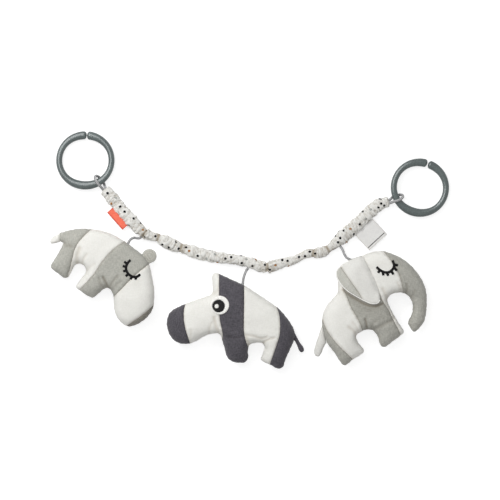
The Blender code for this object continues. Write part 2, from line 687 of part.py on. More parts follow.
class Toy:
    """The whole toy: its joint frames and its pieces."""

    def __init__(self):
        self.parts = bpy.data.collections.new("pram_toy")
        bpy.context.scene.collection.children.link(self.parts)
        self.frames = {}
        self.empties = {}
        self.finishes = {key: material(*finish) for key, finish in FINISHES.items()}

    def joint(self, name, place, axis, parent):
        """A frame on a joint, whose local Z is the joint's axis."""
        turn = axis.normalized().to_track_quat("Z", "Y").to_matrix().to_4x4()
        world = Matrix.Translation(place) @ turn
        empty = bpy.data.objects.new("joint_" + name, None)
        empty.empty_display_size = CORD_DIAMETER
        self.parts.objects.link(empty)
        if parent:
            empty.parent = self.empties[parent]
            empty.matrix_basis = self.frames[parent].inverted() @ world
        else:
            empty.matrix_basis = world
        self.frames[name] = world
        self.empties[name] = empty

    def add(self, piece, body, finish):
        """Gives a piece its finish and hangs it on its body's joint."""
        bpy.context.scene.collection.objects.unlink(piece)
        self.parts.objects.link(piece)
        piece.data.transform(self.frames[body].inverted())
        piece.parent = self.empties[body]
        piece.data.materials.clear()
        piece.data.materials.append(self.finishes[finish])
        piece.data.shade_smooth()
        piece.data.set_sharp_from_angle(angle=SMOOTH_ANGLE)


def flat(point, height):
    return Vector((point.x, point.y, height))


def side_way(run):
    """The level way to the right of a run."""
    return Vector((run.y, -run.x))


class Band:
    """The route and widths of the gathered band."""

    def __init__(self):
        span = BAND_ROUTE_PX[-1][0] - BAND_ROUTE_PX[0][0]
        self.plan = Plan(ORIGIN_PX, (0, 0), BAND_SPAN / span)
        self.route = Route(self.plan.outline(BAND_ROUTE_PX))
        self.folds = [self.route.nearest(self.plan.at(fold)) for fold in BAND_FOLDS_PX]
        self.stops = [0.0, *self.folds, self.route.length]

    def width_share(self, distance):
        puff = np.interp(distance, self.route.knots, BAND_WIDTH_SHARES)
        return puff * (1 + GATHER_SHARE * math.sin(math.tau * distance / GATHER_LENGTH))

    def edge(self, place):
        """Where the band's lower edge passes a place, and the way that the band runs there."""
        distance = self.route.nearest(place)
        run = self.route.along(distance)
        nearby = [distance + CORD_DIAMETER * share for share in (-1, -0.5, 0, 0.5, 1)]
        half = BAND_WIDTH / 2 * max(self.width_share(stop) for stop in nearby)
        return self.route.at(distance) + side_way(run) * half, run

    def section(self, distance, half_width, half_height, sides):
        """An oval of points across the band, with level facets above and below."""
        centre = self.route.at(distance)
        across = side_way(self.route.along(distance))
        crest = math.sin(math.tau * (sides // 4) / sides)
        ring = []
        for side in range(sides):
            turn = math.tau * side / sides
            level = centre + across * half_width * math.cos(turn)
            ring.append(flat(level, BAND_Z + half_height * math.sin(turn) / crest))
        return ring

    def cover(self, name, start, end):
        """One puffed length of the cover, domed at both ends, with the elastic's channel through it."""
        stops = self.domed_stops(start, end, BAND_WIDTH / 2, BAND_PITCH)
        sections = []
        for stop, fullness in stops:
            share = self.width_share(stop) * fullness
            sections.append(self.section(stop, BAND_WIDTH / 2 * share, BAND_HEIGHT / 2 * share, BAND_SIDES))
        piece = loft(name, sections)
        channel = self.strip("channel_cutter", start - OVERRUN, end + OVERRUN, CLEARANCE, 0)
        boolean(piece, channel, "DIFFERENCE")
        return piece

    def strip(self, name, start, end, ease, dome):
        """The flat elastic, or with some ease the channel that it lies in."""
        half_width = ELASTIC_WIDTH / 2 + ease
        half_height = ELASTIC_THICKNESS / 2 + ease
        sections = []
        for stop, fullness in self.domed_stops(start, end, dome, ELASTIC_PITCH):
            sections.append(self.box_section(stop, half_width * fullness, half_height))
        return loft(name, sections)

    def box_section(self, distance, half_width, half_height):
        centre = self.route.at(distance)
        across = side_way(self.route.along(distance))
        corners = ((-1, -1), (1, -1), (1, 1), (-1, 1))
        return [flat(centre + across * half_width * x, BAND_Z + half_height * z) for x, z in corners]

    def domed_stops(self, start, end, dome, pitch):
        """Distances along a piece and its fullness there, with round ends when a dome length is given."""
        if not dome:
            count = max(2, round((end - start) / pitch))
            return [(start + (end - start) * step / count, 1.0) for step in range(count + 1)]
        first = [(start + dome * share, math.sqrt(1 - (1 - share) ** 2)) for share in DOME_SHARES]
        last = [(end - dome * share, fullness) for share, (_, fullness) in zip(DOME_SHARES, first)]
        low, high = start + dome, end - dome
        count = max(1, round((high - low) / pitch))
        middle = [(low + (high - low) * step / count, 1.0) for step in range(1, count)]
        return first + middle + last[::-1]


def build_band(toy, band):
    """The covers and the elastic, in four lengths that fold at the deep gathers."""
    names = ("left", "centre", "right", "far_right")
    parents = ("band_centre", None, "band_centre", "band_right")
    at_fold = (0, 0, 1, 2)
    for which in (1, 0, 2, 3):
        place = flat(band.route.at(band.folds[at_fold[which]]), BAND_Z)
        toy.joint("band_" + names[which], place, UNIT_UP if which else -UNIT_UP, parents[which])
    last = len(names) - 1
    for which, name in enumerate(names):
        start, end = band.stops[which], band.stops[which + 1]
        low = start + (FOLD_GAP / 2 if which else 0)
        high = end - (FOLD_GAP / 2 if which < last else 0)
        toy.add(band.cover("band_cover_" + name, low, high), "band_" + name, "print")
        low += 0 if which else BAND_HEIGHT / 2
        high -= 0 if which < last else BAND_HEIGHT / 2
        strip = band.strip("band_elastic_" + name, low, high, 0, ELASTIC_WIDTH / 2)
        toy.add(strip, "band_" + name, "elastic")


def ring_width(turn):
    """The ring's width at a turn from its gap: wide at the tips and the foot, slim at the sides."""
    from_gap = abs(math.remainder(turn, math.tau)) / math.pi
    rise = math.cos(math.tau * from_gap) / 2 + 0.5
    end = RING_TIP_WIDTH if from_gap < 0.5 else RING_FOOT_WIDTH
    return RING_SIDE_WIDTH + (end - RING_SIDE_WIDTH) * rise**RING_TAPER_POWER


def clip_ring(name, frame, gap_turn):
    """An open ring, lofted through sections that thicken towards its foot and its two rounded tips."""
    middle = RING_RADIUS - RING_TIP_WIDTH / 2
    half_gap = RING_TIP_GAP / 2 / middle
    dome = RING_TIP_WIDTH / 2 / middle
    low, high = half_gap + dome, math.tau - half_gap - dome
    stops = [(half_gap + dome * share, math.sqrt(1 - (1 - share) ** 2)) for share in DOME_SHARES]
    stops += [(low + (high - low) * step / RING_STATIONS, 1.0) for step in range(1, RING_STATIONS)]
    stops += [(math.tau - turn, full) for turn, full in reversed(stops[: len(DOME_SHARES)])]
    flat_share = math.cos(math.pi / RING_SIDES)
    sections = []
    for turn, fullness in stops:
        width = ring_width(turn)
        radius = RING_RADIUS - width / 2
        way = Vector((math.cos(gap_turn + turn), math.sin(gap_turn + turn), 0))
        section = []
        for side in range(RING_SIDES):
            round_turn = math.tau * (side + 0.5) / RING_SIDES
            out = radius + width / 2 * fullness * math.cos(round_turn) / flat_share
            rise = RING_HEIGHT / 2 * fullness * math.sin(round_turn) / flat_share
            section.append(way * out + UNIT_UP * rise)
        sections.append([frame @ point for point in section])
    return loft(name, sections)


def ring_frame(centre, toward, tilt, height):
    """A ring's frame: local X points towards the band, and rises where the cord lifts the ring."""
    out = flat(toward.normalized(), 0)
    local_x = out * math.cos(tilt) + UNIT_UP * math.sin(tilt)
    local_z = UNIT_UP * math.cos(tilt) - out * math.sin(tilt)
    local_y = local_z.cross(local_x)
    turn = Matrix((local_x, local_y, local_z)).transposed().to_4x4()
    return Matrix.Translation(flat(centre, height)) @ turn


def build_end(toy, band, side, body, at_start, ring_px, gap_px):
    """A cord loop sewn into one end of the band, and the clip ring that it holds."""
    stop = 0.0 if at_start else band.route.length
    end = band.route.at(stop)
    run = band.route.along(stop) * (-1 if at_start else 1)
    over_side = -1 if at_start else 1
    centre = band.plan.at(ring_px)
    toward = end - centre
    widest = max(RING_FOOT_WIDTH, RING_TIP_WIDTH)
    stand_off = CORD_RADIUS + CLEARANCE + LOOP_SLACK
    wrap_centre = RING_RADIUS - widest / 2
    wrap_out, wrap_up = widest / 2 + stand_off, RING_HEIGHT / 2 + stand_off
    rests_at = RING_RADIUS - widest / 4
    tilt = math.asin((stand_off + CORD_RADIUS) / (rests_at + wrap_centre - CORD_RADIUS))
    height = rests_at * math.sin(tilt) + RING_HEIGHT / 2 * math.cos(tilt)
    frame = ring_frame(centre, toward, tilt, height)
    hinge = end + run * HINGE_STAND_OFF
    loop_name, ring_name = "cord_loop_" + side, "clip_ring_" + side
    toy.joint(loop_name, flat(hinge, BAND_Z), flat(side_way(run), 0), body)
    toy.joint(ring_name, flat(centre, height), frame.to_3x3() @ UNIT_UP, loop_name)
    gap_way = band.plan.at(gap_px) - centre
    gap_turn = math.atan2(gap_way.y, gap_way.x) - math.atan2(toward.y, toward.x)
    toy.add(clip_ring(ring_name, frame, gap_turn), ring_name, "slate")

    apart = flat(-side_way(run), 0) * (CORD_DIAMETER + CLEARANCE) / 2 * over_side
    entry = flat(hinge - run * CORD_RADIUS, BAND_Z)
    points = [entry + apart]
    for turn in LOOP_TURNS:
        spread = over_side * LOOP_SPREAD / 2 * math.sin(turn)
        out = wrap_centre + wrap_out * math.cos(turn)
        points.append(frame @ Vector((out, spread, wrap_up * math.sin(turn))))
    points.append(entry - apart)
    toy.add(tube(loop_name, Route(points)), loop_name, "cord")


def hang(toy, band, body, animal, cord_px, seam_z):
    """The cord of one animal. It gives the place where the animal's seam lies under the cord's end."""
    edge, run = band.edge(band.plan.at(cord_px[0]))
    hinge = edge + side_way(run) * HINGE_STAND_OFF
    level = [edge + side_way(run) * CLEARANCE, *band.plan.outline(cord_px[1:])]
    points = []
    for index, point in enumerate(level):
        rise = min(1.0, index / (len(level) - 1) / RISE_SHARE)
        points.append(flat(point, BAND_Z + (seam_z - BAND_Z) * rise * rise * (3 - 2 * rise)))
    last_way = (level[-1] - level[-2]).normalized()
    cord_name = "hanging_cord_" + animal
    toy.joint(cord_name, flat(hinge, BAND_Z), flat(run, 0), body)
    toy.add(tube(cord_name, Route(points)), cord_name, "cord")
    toy.joint(animal, flat(level[-1], seam_z), flat(last_way, 0), cord_name)
    return level[-1] + last_way * CLEARANCE


def flap(toy, name, body, outline, plan, drawing_px, length, thickness, seam_z, finish):
    """A small stuffed flap whose root, from its last drawn point to its first, is sewn to a seam."""
    first_px, last_px = Vector(drawing_px[0]), Vector(drawing_px[-1])
    root_px = (first_px + last_px) / 2
    reach_px = max((Vector(point) - root_px).length for point in drawing_px)
    root = plan.at(root_px)
    own_plan = Plan(root_px, root, length / reach_px)
    first, last = own_plan.at(first_px), own_plan.at(last_px)
    along = (first - last).normalized()
    out = side_way(along)
    out *= math.copysign(1, out.dot(own_plan.at(drawing_px[len(drawing_px) // 2]) - root))
    half_root = (first - last).length / 2
    skin_line = spaced(spaced(outline, RIM_PITCH), TRIM_PITCH / 4)
    beside = [point - root for point in skin_line if abs((point - root).dot(along)) < half_root]
    seat = max([0.0] + [away.dot(out) for away in beside if away.length < half_root * 2])
    shift = out * (seat + CLEARANCE)
    drawn = smooth(own_plan.outline(drawing_px), FLAP_CLOSENESS, closed=False)
    drawn = [point + shift for point in drawn]
    toy.joint(name, flat(root + shift, seam_z), flat(along, 0), body)
    toy.add(stuffed_flap(name, drawn, thickness, seam_z, root + shift, out), name, finish)


def stuffed_flap(name, outline, thickness, seam_z, root, out):
    """A flap between two fabric sides that meet all round, and that open gently from its root."""
    points, triangles, rim_count = filled(spaced(outline, TRIM_PITCH), TRIM_PITCH)
    rise = swell(points, triangles, rim_count)
    from_root = np.maximum((points - np.array(root)) @ np.array(out), TRIM_PITCH / 4)
    half = np.minimum(thickness / 2 * rise / rise.max(), from_root * FLAP_ROOT_SLOPE)
    half[:rim_count] = 0
    return two_sided(name, points, triangles, rim_count, seam_z - half, seam_z + half)


def animal_plan(body_px, entry_px, place, length):
    span = max(x for x, _ in body_px) - min(x for x, _ in body_px)
    return Plan(entry_px, place, length / span)


def eye_patch(plan, lid_px, lashes_px):
    """The middle and the reach of a drawn eye, for the place where the skin is pressed flat."""
    marks = plan.outline(lid_px + lashes_px)
    middle = sum(marks, Vector((0, 0))) / len(marks)
    return middle, max((mark - middle).length for mark in marks) + EYE_THREAD


def add_eyes(toy, animal, skin, outline):
    """The same sleeping eye on both sides of an animal."""
    for side, label in ((1, "near"), (-1, "far")):
        name = animal + "_eye_" + label
        toy.add(laid(name, outline, skin, side, CLEARANCE, EYE_THICKNESS, TRIM_PITCH), animal, "black")


def add_patches(toy, animal, form, plan, seams_px, names, finishes, length, thickness):
    """The fabric patches of an animal, cut from its stuffed form along its seams."""
    seams = [smooth(plan.outline(seam), SEAM_CLOSENESS, closed=False) for seam in seams_px]
    names = [animal + "_" + name for name in names]
    for patch, finish in zip(split(form, seams, names, length, thickness), finishes):
        toy.add(patch, animal, finish)


def build_hippo(toy, band):
    seam_z = HIPPO_THICKNESS / 2 - PRESSED_FLAT
    place = hang(toy, band, "band_left", "hippo", HIPPO_CORD_PX, seam_z)
    plan = animal_plan(HIPPO_BODY_PX, HIPPO_CORD_PX[-1], place, HIPPO_LENGTH)
    outline = smooth(plan.outline(HIPPO_BODY_PX), OUTLINE_CLOSENESS, closed=True)
    eye, reach = eye_patch(plan, HIPPO_LID_PX, HIPPO_LASHES_PX)
    form = stuffed("hippo_form", outline, HIPPO_THICKNESS, seam_z, [(eye, reach, EYE_THICKNESS + CLEARANCE)])
    skin = Surface(form, seam_z)
    names = ("rump", "belly", "shoulder", "muzzle", "nose")
    finishes = ("grey", "cream", "grey", "cream", "nose")
    add_patches(toy, "hippo", form, plan, HIPPO_SEAMS_PX, names, finishes, HIPPO_LENGTH, HIPPO_THICKNESS)
    add_eyes(toy, "hippo", skin, sleeping_eye(plan, HIPPO_LID_PX, HIPPO_LASHES_PX))
    flap(toy, "hippo_tail", "hippo", outline, plan, HIPPO_TAIL_PX, HIPPO_TAIL_LENGTH, TAIL_THICKNESS,
         seam_z, "cream")
    flap(toy, "hippo_ear", "hippo", outline, plan, HIPPO_EAR_PX, HIPPO_EAR_LENGTH, HIPPO_EAR_THICKNESS,
         seam_z, "grey")


def build_zebra(toy, band):
    seam_z = ZEBRA_THICKNESS / 2 - PRESSED_FLAT
    place = hang(toy, band, "band_centre", "zebra", ZEBRA_CORD_PX, seam_z)
    plan = animal_plan(ZEBRA_BODY_PX, ZEBRA_CORD_PX[-1], place, ZEBRA_LENGTH)
    outline = smooth(plan.outline(ZEBRA_BODY_PX), OUTLINE_CLOSENESS, closed=True)
    eye = plan.at(ZEBRA_EYE_PX)
    pressed = [(eye, FELT_EYE_DIAMETER / 2, FELT_THICKNESS + CLEARANCE)]
    form = stuffed("zebra_form", outline, ZEBRA_THICKNESS, seam_z, pressed)
    skin = Surface(form, seam_z)
    names = ("nose", "face", "neck", "belly", "rump")
    finishes = ("charcoal", "cream", "charcoal", "cream", "charcoal")
    add_patches(toy, "zebra", form, plan, ZEBRA_SEAMS_PX, names, finishes, ZEBRA_LENGTH, ZEBRA_THICKNESS)
    add_felt_eyes(toy, skin, eye, plan.at(ZEBRA_DISC_PX), plan.at(ZEBRA_PUPIL_PX))
    flap(toy, "zebra_tail", "zebra", outline, plan, ZEBRA_TAIL_PX, ZEBRA_TAIL_LENGTH, ZEBRA_TAIL_THICKNESS,
         seam_z, "charcoal")


def add_felt_eyes(toy, skin, eye, disc, pupil):
    """A felt ring, a felt disc inside it and a round pupil inside the disc, on both sides of the zebra."""
    hole, pupil_hole = FELT_EYE_HOLE / 2, FELT_PUPIL_DIAMETER / 2
    for side, label in ((1, "near"), (-1, "far")):
        felt = (
            ("zebra_eye_ring_", eye, FELT_EYE_DIAMETER / 2, (disc, hole), "cream"),
            ("zebra_eye_disc_", disc, hole - CLEARANCE, (pupil, pupil_hole), "felt"),
            ("zebra_eye_pupil_", pupil, pupil_hole - CLEARANCE, None, "white"),
        )
        for name, centre, radius, opening, finish in felt:
            rim = circle(centre, radius, CIRCLE_POINTS)
            piece = laid(name + label, rim, skin, side, CLEARANCE, FELT_THICKNESS, FELT_PITCH)
            if opening:
                punch = prism("punch", circle(*opening, CIRCLE_POINTS), -ZEBRA_THICKNESS, ZEBRA_THICKNESS * 2)
                boolean(piece, punch, "DIFFERENCE")
            toy.add(piece, "zebra", finish)


def build_elephant(toy, band):
    seam_z = ELEPHANT_THICKNESS / 2 - PRESSED_FLAT
    place = hang(toy, band, "band_far_right", "elephant", ELEPHANT_CORD_PX, seam_z)
    plan = animal_plan(ELEPHANT_BODY_PX, ELEPHANT_CORD_PX[-1], place, ELEPHANT_LENGTH)
    outline = smooth(plan.outline(ELEPHANT_BODY_PX), OUTLINE_CLOSENESS, closed=True)
    ear_plan = ear_drawing(plan)
    ear = smooth(ear_plan.outline(EAR_PX), OUTLINE_CLOSENESS, closed=True)
    eye, reach = eye_patch(plan, ELEPHANT_LID_PX, ELEPHANT_LASHES_PX)
    pressed = [(eye, reach, EYE_THICKNESS + CLEARANCE), *pressed_by_ear(ear)]
    form = stuffed("elephant_form", outline, ELEPHANT_THICKNESS, seam_z, pressed)
    skin = Surface(form, seam_z)
    names = ("rump", "belly", "shoulder", "face", "trunk")
    finishes = ("grey", "cream", "grey", "cream", "grey")
    add_patches(toy, "elephant", form, plan, ELEPHANT_SEAMS_PX[::-1], names, finishes, ELEPHANT_LENGTH,
                ELEPHANT_THICKNESS)
    add_eyes(toy, "elephant", skin, sleeping_eye(plan, ELEPHANT_LID_PX, ELEPHANT_LASHES_PX))
    for side, label in ((1, "near"), (-1, "far")):
        add_ear(toy, skin, ear_plan, ear, side, "elephant_ear_" + label)
    flap(toy, "elephant_tail", "elephant", outline, plan, ELEPHANT_TAIL_PX, ELEPHANT_TAIL_LENGTH,
         TAIL_THICKNESS, seam_z, "cream")


def pressed_by_ear(ear):
    """The places where the ear under the body presses the body's lower skin up."""
    low = Vector((min(point.x for point in ear), min(point.y for point in ear)))
    high = Vector((max(point.x for point in ear), max(point.y for point in ear)))
    size = high - low
    depth = EAR_EDGE + EAR_CROWN + EAR_LIFT
    spots = [Vector((low.x + size.x * x, high.y - size.y * y)) for x, y in EAR_PRESS_SHARES]
    return [(spot, EAR_PRESS_RADIUS, depth) for spot in spots]


def add_ear(toy, skin, ear_plan, ear, side, body):
    """One soft ear in two patches, sewn on along its right edge and laid over the skin."""
    start, end = (ear_plan.at(point) for point in EAR_HINGE_PX)
    heights = [skin.seam_z + side * (skin.height(point, side) + EAR_HINGE_LIFT) for point in (start, end)]
    first, second = flat(start, heights[0]), flat(end, heights[1])
    toy.joint(body, (first + second) / 2, (first - second) * side, "elephant")
    form = laid(body, spaced(ear, EAR_RIM_PITCH), skin, side, EAR_LIFT, EAR_EDGE, EAR_PITCH, EAR_CROWN)
    seam = smooth(ear_plan.outline(EAR_SEAM_PX), SEAM_CLOSENESS, closed=False)
    names = (body + "_border", body + "_flap")
    pieces = split(form, [seam], names, EAR_LENGTH, ELEPHANT_THICKNESS * 2)
    for piece, finish in zip(pieces, ("grey", "cream")):
        toy.add(piece, body, finish)


def ear_drawing(plan):
    """The ear's own plan, pinned at the top of its sewn edge."""
    span = math.dist(EAR_PX[0], EAR_PX[EAR_FOOT])
    return Plan(EAR_PX[0], plan.at(EAR_PX[0]), EAR_LENGTH / span)


def build_label(toy, band, name, body, label_px, length, width, thickness, finish):
    """A flat label whose one edge is sewn into the band's lower seam and follows it."""
    first, second = (band.plan.at(point) for point in label_px)
    along = (second - first).normalized()
    middle = (first + second) / 2
    sewn = []
    for step in range(LABEL_STOPS + 1):
        edge, run = band.edge(middle + along * length * (step / LABEL_STOPS - 1 / 2))
        sewn.append(edge + side_way(run) * (CLEARANCE + thickness / 2))
    out = side_way(sewn[-1] - sewn[0]).normalized()
    seat = max(point.dot(out) for point in sewn)
    free = [point + out * (width + seat - point.dot(out)) for point in sewn]
    piece = prism(name, sewn + free[::-1], BAND_Z - thickness / 2, BAND_Z + thickness / 2)
    toy.joint(name, flat((sewn[0] + sewn[-1]) / 2, BAND_Z), flat(sewn[-1] - sewn[0], 0), body)
    toy.add(piece, name, finish)


def main():
    for thing in list(bpy.data.objects):
        bpy.data.objects.remove(thing)
    toy = Toy()
    band = Band()
    build_band(toy, band)
    build_end(toy, band, "left", "band_left", True, LEFT_RING_PX, LEFT_GAP_PX)
    build_end(toy, band, "right", "band_far_right", False, RIGHT_RING_PX, RIGHT_GAP_PX)
    build_hippo(toy, band)
    build_zebra(toy, band)
    build_elephant(toy, band)
    build_label(toy, band, "side_label", "band_left", SIDE_LABEL_PX, SIDE_LABEL_LENGTH,
                SIDE_LABEL_WIDTH, SIDE_LABEL_THICKNESS, "coral")
    build_label(toy, band, "care_label", "band_far_right", CARE_LABEL_PX, CARE_LABEL_LENGTH,
                CARE_LABEL_WIDTH, CARE_LABEL_THICKNESS, "white")
    return toy


main()
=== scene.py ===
"""A pram toy laid flat: two clip rings, a gathered dotted band and three stuffed patchwork animals.

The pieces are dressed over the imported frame, in metres, with +Z up and X along the band.
Outlines are drawn on a plan whose x runs right and whose y runs down, in plan units named ..._PX.
"""

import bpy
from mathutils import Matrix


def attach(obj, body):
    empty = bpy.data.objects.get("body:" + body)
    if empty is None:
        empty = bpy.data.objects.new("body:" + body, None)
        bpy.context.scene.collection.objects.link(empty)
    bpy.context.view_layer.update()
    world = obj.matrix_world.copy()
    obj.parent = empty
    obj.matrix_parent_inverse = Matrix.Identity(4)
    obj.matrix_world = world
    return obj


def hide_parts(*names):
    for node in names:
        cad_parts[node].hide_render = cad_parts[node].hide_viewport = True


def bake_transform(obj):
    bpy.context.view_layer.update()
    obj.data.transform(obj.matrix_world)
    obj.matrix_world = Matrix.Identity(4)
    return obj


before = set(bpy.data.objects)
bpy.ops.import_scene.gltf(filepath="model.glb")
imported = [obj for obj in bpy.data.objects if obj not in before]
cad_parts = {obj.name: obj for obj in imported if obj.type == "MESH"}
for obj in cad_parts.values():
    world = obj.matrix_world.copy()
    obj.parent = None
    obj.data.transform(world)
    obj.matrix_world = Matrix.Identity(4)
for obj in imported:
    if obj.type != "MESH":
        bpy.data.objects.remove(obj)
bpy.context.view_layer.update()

import logging
import math
from dataclasses import dataclass, field
from enum import Enum
from functools import cached_property
from typing import Protocol

import bpy
import numpy as np
from mathutils import Vector, noise
from mathutils.bvhtree import BVHTree
from mathutils.geometry import delaunay_2d_cdt

LOG = logging.getLogger("pram_toy")
MM = 0.001
UP = Vector((0, 0, 1))
UNIT = 301 * MM / 285
ORIGIN_PX = (249.6, 250.0)
FRAME_PX = 500
CLEARANCE = 0.3 * MM
ROUTE_STEPS = 10
OUTLINE_STEPS = 6
SPLINE_SPANS = (((0, 1), (1, 2), (2, 3)), ((0, 2), (1, 3)), ((1, 2),))
ROW_STEP = 0.866
SWELL_ROUNDS = 900
SWELL_DONE = 1e-22
PRESSED_FLAT = 0.5 * MM
PRESS_EDGE = 9 * MM
PRESS_SPARE = 6.6 * MM

Points = list[Vector]
Pair = tuple[float, float]
Triple = tuple[float, float, float]
Pixels = tuple[Pair, ...]
Socket = bpy.types.NodeSocket
Thing = bpy.types.Object


class Side(Enum):
    """The side of an animal that a piece of trim lies on."""

    NEAR = 1
    FAR = -1


class Weave(Enum):
    """How the threads of a cloth run."""

    PLAIN = "plain"
    HEATHER = "heather"
    SATIN = "satin"
    FELT = "felt"


def srgb(red: float, green: float, blue: float) -> Triple:
    """Turns a colour as it is seen, from 0 to 255, into the linear colour that a shader takes."""
    parts = (red / 255, green / 255, blue / 255)
    return tuple(part / 12.92 if part <= 0.04045 else ((part + 0.055) / 1.055) ** 2.4 for part in parts)


@dataclass
class Graph:
    """The nodes of a new material, or of the world if it is the owner, built with short calls."""

    name: str
    owner: bpy.types.World | bpy.types.Material | None = None

    def __post_init__(self) -> None:
        """Opens the nodes."""
        self.owner = self.owner or bpy.data.materials.new(self.name)
        self.owner.use_nodes = True
        self.nodes = self.owner.node_tree.nodes
        self.links = self.owner.node_tree.links
        self.shader = self.nodes.get("Principled BSDF")

    @cached_property
    def place(self) -> Socket:
        """The piece's own place, which its textures are read at."""
        return self.add("ShaderNodeTexCoord").outputs["Object"]

    def add(self, kind: str, settings: dict | None = None, inputs: dict | None = None) -> bpy.types.Node:
        """Adds a node.

        Args:
            kind: the node's type.
            settings: the node's own properties.
            inputs: a value or a socket for each input, by name or number.

        Returns:
            The new node.
        """
        node = self.nodes.new(kind)
        for name, value in (settings or {}).items():
            setattr(node, name, value)
        for name, value in (inputs or {}).items():
            self.feed(node.inputs[name], value)
        return node

    def feed(self, socket: Socket, value: object) -> None:
        """Links a socket to an input, or sets the input's value.

        Args:
            socket: the input.
            value: a socket to link, or a plain value.
        """
        if isinstance(value, Socket):
            self.links.new(value, socket)
        else:
            socket.default_value = value

    def noise(self, size: float, detail: float = 2.0, place: Socket | None = None) -> Socket:
        """A soft noise whose lumps are about one size across, read at the piece's own place or another."""
        inputs = {"Vector": place or self.place, "Scale": 1 / size, "Detail": detail}
        return self.add("ShaderNodeTexNoise", None, inputs).outputs["Fac"]

    def threads(self, way: str, pitch: float, wander: float) -> Socket:
        """Even threads that run across one way.

        Args:
            way: X, Y, Z or DIAGONAL, the way that the threads follow each other.
            pitch: the distance between threads in metres.
            wander: how far they stray from straight.

        Returns:
            The height of the threads from 0 to 1.
        """
        settings = {"wave_type": "BANDS", "bands_direction": way, "wave_profile": "SIN"}
        inputs = {"Vector": self.place, "Scale": math.pi / 10 / pitch, "Distortion": wander, "Detail": 1.0}
        return self.add("ShaderNodeTexWave", settings, inputs).outputs["Fac"]

    def slubs(self, long: float, wide: float) -> Socket:
        """The uneven threads of a woven cloth, which run both ways.

        Args:
            long: how long a thick place in a thread is, in metres.
            wide: how wide it is.

        Returns:
            The threads' thickness from 0 to 1.
        """
        runs = []
        for scale in ((1 / long, 1 / wide, 1 / wide), (1 / wide, 1 / long, 1 / long)):
            stretched = self.add("ShaderNodeMapping", None, {"Vector": self.place, "Scale": scale})
            runs.append(self.noise(1.0, 1.0, stretched.outputs["Vector"]))
        return self.maths("MULTIPLY", self.maths("ADD", *runs), 0.5)

    def maths(self, operation: str, first: object, second: object = 0.0) -> Socket:
        """One sum on two values, which are sockets or numbers."""
        return self.add("ShaderNodeMath", {"operation": operation}, {0: first, 1: second}).outputs[0]

    def spread(self, value: Socket, low: float, high: float, floor: float = 0.0, top: float = 1.0) -> Socket:
        """Stretches the values from low to high over those from floor to top, and holds them there."""
        inputs = {"Value": value, "From Min": low, "From Max": high, "To Min": floor, "To Max": top}
        return self.add("ShaderNodeMapRange", None, inputs).outputs["Result"]

    def blend(self, share: object, first: object, second: object) -> Socket:
        """Mixes two colours.

        Args:
            share: how much of the second colour shows.
            first: the first colour or its socket.
            second: the second colour or its socket.

        Returns:
            The mixed colour.
        """
        node = self.add("ShaderNodeMix", {"data_type": "RGBA"}, {0: share})
        for index, value in ((6, first), (7, second)):
            self.feed(node.inputs[index], (*value, 1.0) if isinstance(value, tuple) else value)
        return node.outputs[2]

    def woven(self, pitch: float, wander: float) -> Socket:
        """Even threads that cross, from 0 to 1."""
        return self.maths("MULTIPLY", self.threads("X", pitch, wander), self.threads("Y", pitch, wander))

    def sum(self, first: Socket, share: float, second: Socket, other: float) -> Socket:
        """Adds a share of each of two values."""
        return self.maths("ADD", self.maths("MULTIPLY", first, share), self.maths("MULTIPLY", second, other))

    def with_painted_shade(self, mark: str, share: float, cloth: Socket, painted_shade_colour: object) -> Socket:
        """Darkens the cloth by painted shade, read from a mark that the mesh holds at each of its points."""
        painted_dark = self.add("ShaderNodeAttribute", {"attribute_name": mark}).outputs["Fac"]
        return self.blend(self.spread(painted_dark, 0.0, 1.0, 0.0, share), cloth, painted_shade_colour)

    def finish(
        self, colour: Socket, rough: Socket, height: Socket, depth: float, fixed: dict
    ) -> bpy.types.Material:
        """Joins all to the shader.

        Args:
            colour: the colour socket.
            rough: the roughness socket.
            height: the relief socket, from 0 to 1.
            depth: how deep the relief is, in metres.
            fixed: values that are the same all over, by input name.

        Returns:
            The material.
        """
        self.feed(self.shader.inputs["Base Color"], colour)
        self.feed(self.shader.inputs["Roughness"], rough)
        bump = self.add("ShaderNodeBump", None, {"Strength": 1.0, "Distance": depth, "Height": height})
        self.feed(self.shader.inputs["Normal"], bump.outputs["Normal"])
        for name, value in fixed.items():
            self.shader.inputs[name].default_value = value
        return self.owner


@dataclass(frozen=True)
class Finish:
    """What a surface is made of: its slot, and two close colours that mix over it."""

    name: str
    slot: str
    colour: Triple
    shade: Triple

    def material(self) -> bpy.types.Material:
        """Builds the surface's nodes."""
        raise NotImplementedError


